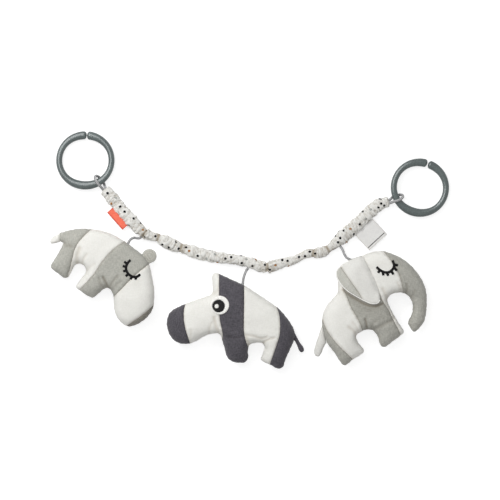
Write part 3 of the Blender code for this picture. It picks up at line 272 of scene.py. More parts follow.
@dataclass(frozen=True)
class ClothFinish(Finish):
    """A sewn cloth: its threads and how it catches the light."""

    pitch: float = 0.8 * MM
    weave: Weave = Weave.PLAIN
    roughness: float = 0.88
    sheen: float = 0.12
    depth: float = 0.12 * MM
    # The tint and the largest share of the painted shade in creases, seams and grooves.
    painted_shade_tint: Triple = (0.62, 0.54, 0.46)
    painted_shade_share: float = 0.85
    mottle_size: float = 11 * MM
    fluff_size: float = 0.6 * MM
    felt_size: float = 0.5 * MM
    slub_size: Pair = (3.4 * MM, 0.66 * MM)
    slub_share: float = 0.45
    heather_share: float = 0.75
    specular: float = 0.25

    def material(self) -> bpy.types.Material:
        """Builds the cloth's nodes: crossing threads, slubs, soft mottling and painted shade in creases,
        seams and grooves.

        Returns:
            The material.
        """
        graph = Graph(self.name)
        mottle = graph.noise(self.mottle_size, 3.0)
        fluff = graph.noise(self.fluff_size)
        slubs = graph.slubs(*self.slub_size)
        if self.weave is Weave.FELT:
            threads = graph.noise(self.felt_size, 3.0)
        elif self.weave is Weave.SATIN:
            threads = graph.threads("DIAGONAL", self.pitch, 0.6)
        else:
            threads = graph.woven(self.pitch, 1.4)
        share = self.heather_share if self.weave is Weave.HEATHER else self.slub_share
        clear = graph.spread(slubs, 0.35, 0.65, 0.5 - share / 2, 0.5 + share / 2)
        tone = graph.spread(graph.maths("ADD", clear, graph.sum(mottle, 0.5, threads, 0.2)), 0.25, 1.15)
        cloth = graph.blend(tone, self.shade, self.colour)
        # Painted shade: a darker, warmer tone mixed in where the mesh marks creases, seams and grooves.
        painted_shade_colour = tuple(part * tint for part, tint in zip(self.shade, self.painted_shade_tint))
        colour = graph.with_painted_shade("crease", self.painted_shade_share, cloth, painted_shade_colour)
        rough = graph.spread(fluff, 0.2, 0.8, self.roughness - 0.06, min(1.0, self.roughness + 0.06))
        relief = graph.sum(threads, 0.5, slubs, 0.5)
        fixed = {"Sheen Weight": self.sheen, "Specular IOR Level": self.specular}
        return graph.finish(colour, rough, relief, self.depth, fixed)


@dataclass(frozen=True)
class PrintFinish(Finish):
    """The band's cotton, with a painted tan shade in its wrinkles and where the gathers pinch it."""

    # The colour of the painted shade in the band's wrinkles and pinches.
    pinch: Triple = srgb(150, 136, 114)
    pitch: float = 0.6 * MM
    fine_size: float = 1.3 * MM
    mottle_size: float = 5 * MM
    depth: float = 0.55 * MM
    crease_share: float = 0.7
    painted_pinch_share: float = 0.85

    def material(self) -> bpy.types.Material:
        """Builds the cotton's nodes, with painted shade in the creases and pinches read from the mesh.

        Returns:
            The material.
        """
        graph = Graph(self.name)
        fine = graph.noise(self.fine_size, 3.0)
        mottle = graph.noise(self.mottle_size, 3.0)
        threads = graph.woven(self.pitch, 1.5)
        cloth = graph.blend(graph.sum(threads, 0.4, mottle, 0.8), self.shade, self.colour)
        with_painted_shade = graph.with_painted_shade("crease", self.crease_share, cloth, self.pinch)
        colour = graph.with_painted_shade("pinch", self.painted_pinch_share, with_painted_shade, self.pinch)
        rough = graph.spread(fine, 0.2, 0.8, 0.8, 0.95)
        fixed = {"Sheen Weight": 0.1, "Specular IOR Level": 0.25}
        return graph.finish(colour, rough, graph.sum(threads, 0.2, fine, 0.8), self.depth, fixed)


@dataclass(frozen=True)
class PlasticFinish(Finish):
    """Moulded plastic with faint flow streaks and rubbed places."""

    roughness: float
    flow_size: float = 14 * MM
    grain_size: float = 0.7 * MM
    rub_size: float = 3 * MM
    depth: float = 0.006 * MM

    def material(self) -> bpy.types.Material:
        """Builds the plastic's nodes.

        Returns:
            The material.
        """
        graph = Graph(self.name)
        flow = graph.noise(self.flow_size, 3.0)
        grain = graph.noise(self.grain_size)
        rub = graph.noise(self.rub_size, 4.0)
        colour = graph.blend(graph.spread(flow, 0.3, 0.7), self.shade, self.colour)
        rough = graph.spread(rub, 0.3, 0.7, self.roughness - 0.03, self.roughness + 0.05)
        gloss = {"Specular IOR Level": 0.5, "Coat Weight": 0.15, "Coat Roughness": 0.22}
        return graph.finish(colour, rough, grain, self.depth, gloss)


@dataclass(frozen=True)
class ThreadFinish(Finish):
    """Stitched or braided thread, whose strands run slantwise."""

    pitch: float
    roughness: float = 0.7
    fluff_size: float = 0.6 * MM
    depth: float = 0.2 * MM

    def material(self) -> bpy.types.Material:
        """Builds the thread's nodes.

        Returns:
            The material.
        """
        graph = Graph(self.name)
        strands = graph.threads("DIAGONAL", self.pitch, 1.2)
        fluff = graph.noise(self.fluff_size, 3.0)
        colour = graph.blend(graph.sum(strands, 0.6, fluff, 0.5), self.shade, self.colour)
        rough = graph.spread(fluff, 0.2, 0.8, self.roughness - 0.08, self.roughness + 0.12)
        return graph.finish(colour, rough, strands, self.depth, {"Specular IOR Level": 0.15})


CREAM = ClothFinish("cream_linen", "cream_cotton", srgb(241, 240, 235), srgb(225, 224, 217))
PALE = ClothFinish("pale_linen", "cream_cotton", srgb(233, 232, 227), srgb(214, 213, 208))
PIPING = ClothFinish("white_piping", "cream_cotton", srgb(254, 253, 250), srgb(246, 245, 241), 0.5 * MM)
GREY, ASH, EAR_GREY, NOSE, CHARCOAL = (
    ClothFinish(name, slot, srgb(*colour), srgb(*shade), weave=Weave.HEATHER)
    for name, slot, colour, shade in (
        ("grey_chambray", "grey_cotton", (188, 187, 179), (155, 155, 147)),
        ("ash_chambray", "grey_cotton", (186, 185, 177), (150, 149, 141)),
        ("ear_chambray", "grey_cotton", (202, 201, 193), (172, 172, 164)),
        ("nose_chambray", "nose_cotton", (154, 150, 141), (116, 113, 105)),
        ("charcoal_chambray", "charcoal_cotton", (91, 88, 94), (56, 54, 60)),
    )
)
WHITE_FELT = ClothFinish(
    "cream_felt", "cream_cotton", srgb(250, 249, 245), srgb(234, 233, 228), weave=Weave.FELT
)
BLACK_FELT = ClothFinish(
    "black_felt_cloth", "black_felt", srgb(27, 26, 27), srgb(13, 13, 14), weave=Weave.FELT, roughness=0.93
)
CORAL = ClothFinish(
    "coral_woven_ribbon", "coral_ribbon", srgb(250, 126, 100), srgb(228, 92, 68), pitch=0.7 * MM,
    roughness=0.7, depth=0.14 * MM, painted_shade_tint=(0.75, 0.45, 0.4),
)
SATIN = ClothFinish(
    "white_satin_cloth", "white_satin", srgb(232, 231, 229), srgb(215, 214, 212), pitch=0.5 * MM,
    weave=Weave.SATIN, roughness=0.62, depth=0.05 * MM,
)
ELASTIC = ClothFinish(
    "white_knit_elastic", "white_elastic", srgb(238, 237, 234), srgb(216, 215, 212), 0.6 * MM
)
PRINT = PrintFinish("gathered_print_cotton", "dotted_cotton", srgb(245, 244, 240), srgb(222, 221, 216))
PRINT_DEPTH = 0.04 * MM
DOTS = {
    "black": ClothFinish(
        "dot_black", "black_thread", srgb(20, 19, 22), srgb(8, 8, 10), sheen=0.0, depth=PRINT_DEPTH
    ),
    "tan": ClothFinish("dot_tan", "dotted_cotton", srgb(168, 122, 76), srgb(140, 98, 58), depth=PRINT_DEPTH),
    "grey": ClothFinish(
        "dot_grey", "dotted_cotton", srgb(176, 178, 174), srgb(156, 158, 154), depth=PRINT_DEPTH
    ),
}
SLATE = PlasticFinish("slate_moulded_plastic", "slate_plastic", srgb(86, 96, 95), srgb(73, 82, 82), 0.26)
CORD = ThreadFinish("grey_braided_cord", "grey_cord", srgb(196, 196, 196), srgb(126, 126, 129), 0.9 * MM)
STITCH = ThreadFinish("black_satin_stitch", "black_thread", srgb(18, 17, 19), srgb(5, 5, 6), 0.45 * MM, 0.68)
LINE = ThreadFinish("grey_label_line", "grey_cord", srgb(104, 103, 102), srgb(84, 83, 82), 0.5 * MM)


@dataclass
class Plan:
    """A stretch of the drawing, pinned at a place by one of its points, with its own size for one unit."""

    pinned_px: Pair
    place: Vector
    unit: float

    def at(self, point_px: Pair) -> Vector:
        """The place of one drawn point."""
        across, down = (point_px[axis] - self.pinned_px[axis] for axis in (0, 1))
        return self.place + Vector((across, -down)) * self.unit

    def line(self, points_px: Pixels) -> Points:
        """The places of several drawn points."""
        return [self.at(point) for point in points_px]


def smooth(points: Points, steps: int, closed: bool) -> Points:
    """Finds points of a centripetal spline through the given ones.

    Args:
        points: the points that it passes through.
        steps: how many points it gives for each stretch.
        closed: whether it comes back to its start.

    Returns:
        The points of the curve.
    """
    count = len(points)
    found: Points = []
    for index in range(count if closed else count - 1):
        if closed:
            four = [points[(index + step) % count] for step in (-1, 0, 1, 2)]
        else:
            four = [points[min(max(index + step, 0), count - 1)] for step in (-1, 0, 1, 2)]
            if index == 0:
                four[0] = four[1] * 2 - four[2]
            if index == count - 2:
                four[3] = four[2] * 2 - four[1]
        knots = [0.0]
        for before, after in zip(four, four[1:]):
            knots.append(knots[-1] + math.sqrt((after - before).length))
        for step in range(steps):
            knot = knots[1] + (knots[2] - knots[1]) * step / steps
            layer = four
            for spans in SPLINE_SPANS:
                layer = [
                    before.lerp(after, (knot - knots[low]) / (knots[high] - knots[low]))
                    for before, after, (low, high) in zip(layer, layer[1:], spans)
                ]
            found.append(layer[0])
    if not closed:
        found.append(points[-1].copy())
    return found


def rows(points: Points) -> np.ndarray:
    """Points as an array with one row for each."""
    return np.array([tuple(point) for point in points])


def turns(count: int) -> list[Pair]:
    """The cosine and sine of even turns round a circle."""
    angles = [math.tau * step / count for step in range(count)]
    return [(math.cos(angle), math.sin(angle)) for angle in angles]


def closeness(gap: np.ndarray, width: float) -> np.ndarray:
    """One at no gap, which falls away over a width."""
    return np.exp(-((gap / width) ** 2))


@dataclass
class Route:
    """A smooth open curve through some points, read by its distance from the start."""

    through: Points
    steps: int = ROUTE_STEPS

    def __post_init__(self) -> None:
        """Draws the curve and measures it."""
        self.points = smooth(self.through, self.steps, closed=False)
        self.reach = [0.0]
        for before, after in zip(self.points, self.points[1:]):
            self.reach.append(self.reach[-1] + (after - before).length)
        self.length = self.reach[-1]
        self.knots = self.reach[::self.steps]

    def at(self, distance: float) -> Vector:
        """The point at a distance, or on the straight line past an end.

        Args:
            distance: the distance from the start.

        Returns:
            The point.
        """
        index = min(max(int(np.searchsorted(self.reach, distance)) - 1, 0), len(self.points) - 2)
        step = self.reach[index + 1] - self.reach[index]
        return self.points[index].lerp(self.points[index + 1], (distance - self.reach[index]) / step)

    def along(self, distance: float) -> Vector:
        """The way that the curve runs at a distance."""
        near = self.length / len(self.points)
        return (self.at(distance + near) - self.at(distance - near)).normalized()

    def nearest(self, place: Vector) -> float:
        """The distance at which the curve passes nearest to a place."""
        gaps = [(point - place).length for point in self.points]
        return self.reach[gaps.index(min(gaps))]

    def read(self, pitch: float) -> Points:
        """The curve's points at even steps of about one pitch."""
        count = max(2, round(self.length / pitch))
        return [self.at(self.length * step / count) for step in range(count + 1)]


def right_of(run: Vector) -> Vector:
    """The level way to the right of a run."""
    return Vector((run.y, -run.x))


def level(point: Vector, height: float) -> Vector:
    """A point of the plan at a height."""
    return Vector((point[0], point[1], height))


def even_ring(points: Points, pitch: float) -> np.ndarray:
    """Reads a closed line again at even steps.

    Args:
        points: the closed line.
        pitch: the rough step.

    Returns:
        The points, one row each.
    """
    ends = rows(points + points[:1])
    reach = np.concatenate([[0.0], np.cumsum(np.hypot(*np.diff(ends, axis=0).T))])
    count = max(8, round(reach[-1] / pitch))
    stops = np.arange(count) * reach[-1] / count
    return np.column_stack([np.interp(stops, reach, ends[:, axis]) for axis in (0, 1)])


def beside(line: np.ndarray, points: np.ndarray) -> tuple[np.ndarray, np.ndarray, np.ndarray]:
    """Measures points against an open line.

    Args:
        line: the line's points, one row each.
        points: the points to measure, one row each.

    Returns:
        Each point's distance from the line, its reach along it, and 1 on its left or -1 on its right.
    """
    start, step = line[:-1], np.diff(line, axis=0)
    size = np.maximum((step**2).sum(axis=1), 1e-18)
    away = points[:, None, :] - start[None]
    share = np.clip((away * step).sum(axis=2) / size, 0, 1)
    gap = away - share[..., None] * step
    gaps = (gap**2).sum(axis=2)
    best = gaps.argmin(axis=1)
    row = np.arange(len(points))
    reach = np.concatenate([[0.0], np.cumsum(np.sqrt(size))])
    along = reach[best] + share[row, best] * np.sqrt(size[best])
    turn = step[best, 0] * away[row, best, 1] - step[best, 1] * away[row, best, 0]
    return np.sqrt(gaps[row, best]), along, np.where(turn > 0, 1, -1)


@dataclass
class Net:
    """A fine net of triangles inside a closed outline, with edges along the open lines that cut it."""

    outline: Points
    pitch: float
    lines: tuple[Points, ...] = ()

    def __post_init__(self) -> None:
        """Fills the outline."""
        pitch = self.pitch
        self.ring = even_ring(self.outline, pitch)
        self.cuts = [rows(Route(line).read(pitch)) for line in self.lines]
        low, high = self.ring.min(axis=0), self.ring.max(axis=0)
        grid = np.array([
            (low[0] + (column + row % 2 / 2) * pitch, low[1] + (row + 0.5) * pitch * ROW_STEP)
            for row in range(int((high[1] - low[1]) / (pitch * ROW_STEP)) + 1)
            for column in range(int((high[0] - low[0]) / pitch) + 2)
        ])
        grid = grid[self.within(grid)]
        grid = grid[self.rim_gap(grid) > pitch * 0.55]
        for cut in self.cuts:
            grid = grid[beside(cut, grid)[0] > pitch * 0.5]
        corners = [Vector(row) for row in self.ring]
        edges = [(index, (index + 1) % len(corners)) for index in range(len(corners))]
        for cut in self.cuts:
            first = len(corners)
            corners += [Vector(row) for row in cut]
            edges += [(index, index + 1) for index in range(first, len(corners) - 1)]
        corners += [Vector(row) for row in grid]
        found = delaunay_2d_cdt(corners, edges, [], 1, pitch * 0.001)
        used, index = np.unique(rows(found[2]), return_inverse=True)
        self.points = rows(found[0])[used]
        self.triangles = index.reshape(-1, 3)
        corners = self.points[self.triangles]
        turn = np.cross(corners[:, 1] - corners[:, 0], corners[:, 2] - corners[:, 0])
        self.triangles[turn < 0] = self.triangles[turn < 0][:, ::-1]
        self.rim = np.zeros(len(self.points), bool)
        self.rim[np.unique(self.border(self.triangles))] = True
        self.depth = self.rim_gap(self.points)

    @staticmethod
    def edges(triangles: np.ndarray) -> np.ndarray:
        """The edges of some triangles, in each triangle's order."""
        return np.concatenate([triangles[:, [0, 1]], triangles[:, [1, 2]], triangles[:, [2, 0]]])

    @staticmethod
    def border(triangles: np.ndarray) -> np.ndarray:
        """The edges that only one of some triangles has.

        Args:
            triangles: the corners of the triangles.

        Returns:
            The edges, each in its triangle's order.
        """
        edges = Net.edges(triangles)
        _, first, count = np.unique(np.sort(edges, axis=1), axis=0, return_index=True, return_counts=True)
        return edges[first[count == 1]]

    def within(self, places: np.ndarray) -> np.ndarray:
        """Finds which places the outline goes round.

        Args:
            places: the places, one row each.

        Returns:
            Whether each place is inside.
        """
        after = np.roll(self.ring, -1, axis=0)
        spans = (self.ring[None, :, 1] > places[:, 1:2]) != (after[None, :, 1] > places[:, 1:2])
        rise = np.where(after[:, 1] == self.ring[:, 1], 1e-12, after[:, 1] - self.ring[:, 1])
        slope = (after[:, 0] - self.ring[:, 0]) / rise
        crossing = self.ring[None, :, 0] + (places[:, 1:2] - self.ring[None, :, 1]) * slope[None]
        return (spans & (places[:, 0:1] < crossing)).sum(axis=1) % 2 == 1

    def rim_gap(self, places: np.ndarray) -> np.ndarray:
        """How far each place is from the outline."""
        return beside(np.vstack([self.ring, self.ring[:1]]), places)[0]

    def lumps(self, size: float, layer: float) -> np.ndarray:
        """A soft noise at each point, whose lumps are about one size across."""
        return np.array([noise.noise(Vector((x, y, layer)) / size) for x, y in self.points])

    def swell(self) -> np.ndarray:
        """Lifts a membrane that is held along the rim, as the stuffing lifts the cloth.

        Returns:
            The lift at each point, as the half width of a strip that lifts as far.
        """
        count = len(self.points)
        corners = self.points[self.triangles]
        sides = corners[:, [2, 0, 1]] - corners[:, [1, 2, 0]]
        area = np.abs(sides[:, 0, 0] * sides[:, 1, 1] - sides[:, 0, 1] * sides[:, 1, 0]) / 2
        area = np.maximum(area, 1e-14)
        local = np.einsum("tia,tja->tij", sides, sides) / (4 * area[:, None, None])
        pulled = np.repeat(self.triangles, 3, axis=1).ravel()
        pulling = np.tile(self.triangles, (1, 3)).ravel()
        weights = local.ravel()
        load = np.bincount(self.triangles.ravel(), np.repeat(area / 3, 3), count)
        free = ~self.rim
        lift = np.zeros(count)
        rest = np.where(free, load, 0.0)
        way = rest.copy()
        power = rest @ rest
        for _ in range(SWELL_ROUNDS):
            pull = np.bincount(pulled, weights * way[pulling], count) * free
            step = power / (way @ pull)
            lift += step * way
            rest -= step * pull
            fresh = rest @ rest
            if fresh < SWELL_DONE:
                break
            way = rest + way * (fresh / power)
            power = fresh
        return np.sqrt(2 * np.maximum(lift, 0))

    def solid(
        self, name: str, chosen: np.ndarray, top: np.ndarray, under: np.ndarray, shade: np.ndarray,
        sewn: bool = False,
    ) -> Thing:
        """Makes a closed piece of cloth from some of the net's triangles.

        Args:
            name: the piece's name.
            chosen: which of the triangles it has.
            top: the height of its upper side at each point of the net.
            under: the height of its lower side there.
            shade: how dark the painted shade makes the cloth there.
            sewn: whether its two sides join along the net's outline.

        Returns:
            The piece.
        """
        triangles = self.triangles[chosen]
        used = np.unique(triangles)
        apart = used[~self.rim[used]] if sewn else used
        high = np.full(len(self.points), -1)
        high[used] = np.arange(len(used))
        low = high.copy()
        low[apart] = len(used) + np.arange(len(apart))
        points = [(*self.points[i], top[i]) for i in used] + [(*self.points[i], under[i]) for i in apart]
        faces = [tuple(high[face]) for face in triangles] + [tuple(low[face[::-1]]) for face in triangles]
        for start, end in Net.border(triangles):
            wall = tuple(dict.fromkeys((high[end], high[start], low[start], low[end])))
            if len(wall) > 2:
                faces.append(wall)
        return mesh_of(name, points, faces, {"crease": np.concatenate([shade[used], shade[apart]])})


def mesh_of(name: str, points: list, faces: list, marks: dict | None = None) -> Thing:
    """Makes an object from points and faces.

    Args:
        name: the object's name.
        points: the places of its points.
        faces: the corners of its faces.
        marks: values that its points hold, by name.

    Returns:
        The object, with smooth shading.
    """
    mesh = bpy.data.meshes.new(name)
    mesh.from_pydata([tuple(point) for point in points], [], [tuple(int(i) for i in face) for face in faces])
    mesh.validate()
    for mark, values in (marks or {}).items():
        mesh.attributes.new(mark, "FLOAT", "POINT").data.foreach_set("value", np.array(values, np.float32))
    mesh.shade_smooth()
    made = bpy.data.objects.new(name, mesh)
    bpy.context.scene.collection.objects.link(made)
    return made


def skinned(sections: list[Points], points: list, faces: list) -> None:
    """Skins rings of points that all have the same count, and closes both ends.

    Args:
        sections: the rings.
        points: the list that their points are added to.
        faces: the list that the faces are added to.
    """
    sides, first = len(sections[0]), len(points)
    points.extend(point for section in sections for point in section)
    last = len(points) - sides
    for low in range(first, last, sides):
        for side in range(sides):
            other = (side + 1) % sides
            faces.append((low + side, low + other, low + sides + other, low + sides + side))
    faces.append(tuple(reversed(range(first, first + sides))))
    faces.append(tuple(range(last, last + sides)))


def lofted(name: str, sections: list[Points], marks: dict | None = None) -> Thing:
    """Makes one object from rings of points.

    Args:
        name: the object's name.
        sections: the rings.
        marks: values that the points hold, by name.

    Returns:
        The skinned object.
    """
    points: list = []
    faces: list = []
    skinned(sections, points, faces)
    return mesh_of(name, points, faces, marks)


MATERIALS: dict[str, bpy.types.Material] = {}
RIDERS: dict[str, list[Thing]] = {}


def dress(piece: Thing, finish: Finish) -> None:
    """Gives a piece its material.

    Args:
        piece: the piece.
        finish: the finish that it gets.
    """
    if finish.name not in MATERIALS:
        MATERIALS[finish.name] = finish.material()
    piece.data.materials.append(MATERIALS[finish.name])


def put(piece: Thing, body: str, finish: Finish, *nodes: str) -> None:
    """Dresses a piece, rides it on a body and lets it stand for CAD nodes.

    Args:
        piece: the piece.
        body: the body that it rides on.
        finish: its finish.
        nodes: the CAD nodes that it replaces.
    """
    dress(piece, finish)
    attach(piece, body)
    RIDERS.setdefault(body, []).append(piece)
    if nodes:
        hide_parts(*nodes)
    LOG.info("%s: %d points on %s", piece.name, len(piece.data.vertices), body)


def ripple(values: np.ndarray, pitch: float, seed: float) -> np.ndarray:
    """An uneven wave along a line, from about -1 to 1.

    Args:
        values: distances along the line.
        pitch: the rough distance between waves.
        seed: what sets this wave apart from others.

    Returns:
        The wave's height at each distance.
    """
    turn = values * math.tau / pitch
    long_wave = 0.7 * np.sin(turn * 0.62 + seed * 2.3)
    short_wave = 0.5 * np.sin(turn * 1.71 + seed * 5.1)
    return (np.sin(turn + seed) + long_wave + short_wave) / 2


@dataclass
class Skin:
    """The two sides of a stuffed body, which trim is laid on, as heights off the plane of its seam."""

    net: Net
    seam_z: float
    lower: np.ndarray
    upper: np.ndarray

    def __post_init__(self) -> None:
        """Readies both sides to be measured."""
        faces = self.net.triangles.tolist()
        sides = ((1, self.upper), (-1, self.lower))
        places = {side: np.column_stack([self.net.points, heights]).tolist() for side, heights in sides}
        self.trees = {side: BVHTree.FromPolygons(places[side], faces) for side in places}

    def height(self, place: Vector, side: int) -> float:
        """How far the skin stands off the seam plane, or zero past its outline."""
        hit = self.trees[side].ray_cast(Vector((place[0], place[1], 1.0)), -UP)[0]
        return hit.z if hit else 0.0

    def on(self, place: Vector, side: int, lift: float) -> Vector:
        """A point at a lift above the skin."""
        return level(place, self.seam_z + side * (self.height(place, side) + lift))


@dataclass
class Fold:
    """A fold pressed into a stuffed body, with painted shade along it; one with no depth is only a painted
    shadow.
    """

    line_px: Pixels
    depth_mm: float
    width_mm: float = 1.3
    # How dark the painted shade along the fold is; zero takes it from the depth.
    shade: float = 0.0

    def darkness(self) -> float:
        """How dark the painted shade is at the bottom of the fold."""
        return self.shade or min(0.75, self.depth_mm / 2)


class Trim(Protocol):
    """Something that lies on both sides of an animal."""

    def press(self, animal: "StuffedAnimal") -> None:
        """Presses the body's under side up where the far one lies."""

    def build(self, animal: "StuffedAnimal", side: Side) -> None:
        """Lays the trim on one side."""


@dataclass
class StuffedAnimal:
    """A patchwork animal: two fabric sides sewn at the outline and filled, with its trim."""

    name: str
    length: float
    thickness: float
    body_px: Pixels
    seams_px: tuple[Pixels, ...]
    patches: tuple[tuple[str, ClothFinish], ...]
    folds: tuple[Fold, ...]
    hung_px: Pixels
    paired: tuple[Trim, ...]
    flaps: tuple["SoftFlap", ...]
    plump_width: float = 17 * MM
    squareness: float = 4.0
    pitch: float = 1.35 * MM
    crease_room: float = 3 * MM
    seam_groove: float = 0.85 * MM
    seam_width: float = 1.1 * MM
    seam_shade: float = 0.35
    pucker: float = 0.62 * MM
    rim_pucker: Pair = (6.5 * MM, 4.2 * MM)
    seam_pucker: Pair = (5.2 * MM, 3.2 * MM)
    lump: float = 0.7 * MM
    lump_sizes: Pair = (15 * MM, 6 * MM)
    scallop: float = 0.28 * MM
    scallop_pitch: float = 5.5 * MM
    fold_step: float = 1.2 * MM
    fill: float = 0.8
    pressed: list = field(default_factory=list)

    def build(self, drawing: Plan) -> None:
        """Builds the animal where its cord enters its seam.

        Args:
            drawing: the plan that the cord is drawn on.
        """
        before, last = drawing.line(self.hung_px)
        span = max(x for x, _ in self.body_px) - min(x for x, _ in self.body_px)
        place = last + (last - before).normalized() * CLEARANCE
        self.plan = Plan(self.hung_px[-1], place, self.length / span)
        self.seam_z = self.thickness / 2 - PRESSED_FLAT
        for trim in self.paired:
            trim.press(self)
        self.patchwork()
        for side in Side:
            for trim in self.paired:
                trim.build(self, side)
        for flap in self.flaps:
            flap.build(self)

    def patchwork(self) -> None:
        """Builds the patches and dresses them."""
        self.net = Net(self.scalloped(), self.pitch, tuple(self.plan.line(seam) for seam in self.seams_px))
        spread = self.net.swell() / self.plump_width
        plump = spread / (1 + spread**self.squareness) ** (1 / self.squareness)
        upper = self.thickness / 2 * plump / plump.max()
        lower = np.minimum(upper, self.seam_z)
        for place, radius, depth in self.pressed:
            away = np.hypot(*(self.net.points - np.array(place)).T) - radius - PRESS_SPARE
            ease = np.clip(away / PRESS_EDGE, 0, 1) ** 2
            lower = np.minimum(lower, self.seam_z - depth * (1 - ease))
        drop, shade = self.creases()
        room = np.clip(upper / self.crease_room, 0, 1)
        upper = np.maximum(upper - drop * room, 0)
        lower = np.clip(lower - drop * room * 0.5, 0, self.seam_z)
        upper[self.net.rim] = 0
        lower[self.net.rim] = 0
        self.skin = Skin(self.net, self.seam_z, lower, upper)
        which = np.zeros(len(self.net.triangles), int)
        middles = self.net.points[self.net.triangles].mean(axis=1)
        for cut in self.net.cuts:
            which += beside(cut, middles)[2] > 0
        for index, (patch, finish) in enumerate(self.patches):
            name = f"{self.name}_{patch}"
            piece = self.net.solid(
                name + "_cloth", which == index, self.seam_z + upper, self.seam_z - lower, shade, True
            )
            put(piece, self.name, finish, name)

    def scalloped(self) -> Points:
        """Draws the outline in a little between its stitches.

        Returns:
            The outline.
        """
        ring = even_ring(smooth(self.plan.line(self.body_px), OUTLINE_STEPS, closed=True), self.pitch)
        way = np.roll(ring, -1, axis=0) - np.roll(ring, 1, axis=0)
        way /= np.hypot(*way.T)[:, None]
        wave = ripple(np.arange(len(ring)) * self.pitch, self.scallop_pitch, 0.4) * self.scallop
        return [Vector(row) for row in ring + np.column_stack([-way[:, 1], way[:, 0]]) * wave[:, None]]

    def creases(self) -> tuple[np.ndarray, np.ndarray]:
        """Finds how far the cloth sinks at seams, puckers, lumps and folds, and paints shade into seams and
        folds.

        Returns:
            The drop at each point in metres, and its painted shade from 0 to 1.
        """
        points = self.net.points
        large, small = self.lump_sizes
        drop = self.net.lumps(large, 0.3) * self.lump
        drop += self.net.lumps(small, 0.7) * self.lump * 0.35
        shade = np.zeros(len(points))
        ring = np.vstack([self.net.ring, self.net.ring[:1]])
        gap, along, _ = beside(ring, points)
        pitch, reach = self.rim_pucker
        drop += self.pucker * ripple(along, pitch, 1.0) * np.exp(-gap / reach)
        pitch, reach = self.seam_pucker
        for index, cut in enumerate(self.net.cuts):
            gap, along, _ = beside(cut, points)
            near = closeness(gap, self.seam_width)
            drop += self.seam_groove * near
            drop += self.pucker * 0.8 * ripple(along, pitch, 2.0 + index) * np.exp(-gap / reach)
            # Painted shade in the seam grooves.
            shade = np.maximum(shade, near * self.seam_shade)
        for fold in self.folds:
            line = rows(Route(self.plan.line(fold.line_px)).read(self.fold_step))
            near = closeness(beside(line, points)[0], fold.width_mm * MM)
            drop += fold.depth_mm * MM * near
            # Painted shade along each fold; a fold with no depth is only a painted shadow.
            shade = np.maximum(shade, near * fold.darkness())
        return drop, shade


@dataclass
class SleepingEye:
    """A closed eye in satin stitch: a curved lid with short lashes."""

    lid_px: Pixels
    lashes_px: tuple[Pixels, ...]
    press_radius: float
    press_depth: float = 1.8 * MM
    half_width: float = 1.38 * MM
    raised: float = 0.7 * MM
    least: float = 0.14 * MM
    pitch: float = 0.4 * MM
    sides: int = 10

    def press(self, animal: StuffedAnimal) -> None:
        """Presses the body's under side up where the far eye lies.

        Args:
            animal: the animal that the eye lies on.
        """
        marks = animal.plan.line(self.lid_px)
        middle = sum(marks, Vector((0, 0))) / len(marks)
        animal.pressed.append((tuple(middle), self.press_radius, self.press_depth))

    def build(self, animal: StuffedAnimal, side: Side) -> None:
        """Stitches the eye on one side.

        Args:
            animal: the animal that it lies on.
            side: the side.
        """
        points: list = []
        faces: list = []
        lines = [Route(animal.plan.line(self.lid_px))]
        lines += [Route(animal.plan.line(lash), 4) for lash in self.lashes_px]
        for line in lines:
            skinned(self.sweep(line, animal.skin, side.value), points, faces)
        label = side.name.lower()
        piece = mesh_of(f"{animal.name}_eye_{label}_stitches", points, faces)
        put(piece, animal.name, STITCH, f"{animal.name}_eye_{label}")

    def sweep(self, line: Route, skin: Skin, side: int) -> list[Points]:
        """Sweeps a raised stitched line over the skin.

        Args:
            line: the route of the line.
            skin: the skin that it lies on.
            side: 1 for the near side or -1 for the far side.

        Returns:
            The line's sections.
        """
        count = max(4, round(line.length / self.pitch))
        rings = []
        for stop in (line.length * step / count for step in range(-2, count + 3)):
            past = max(-stop, stop - line.length, 0.0) / self.half_width
            fullness = math.sqrt(max(0.02, 1 - past * past))
            centre = line.at(stop)
            across = right_of(line.along(min(max(stop, 0.0), line.length)))
            ring = []
            for cos, sin in turns(self.sides):
                spot = centre + across * self.half_width * fullness * cos
                rise = self.least + self.raised * fullness * max(-side * sin, -0.3)
                ring.append(skin.on(spot, side, rise))
            rings.append(ring)
        return rings


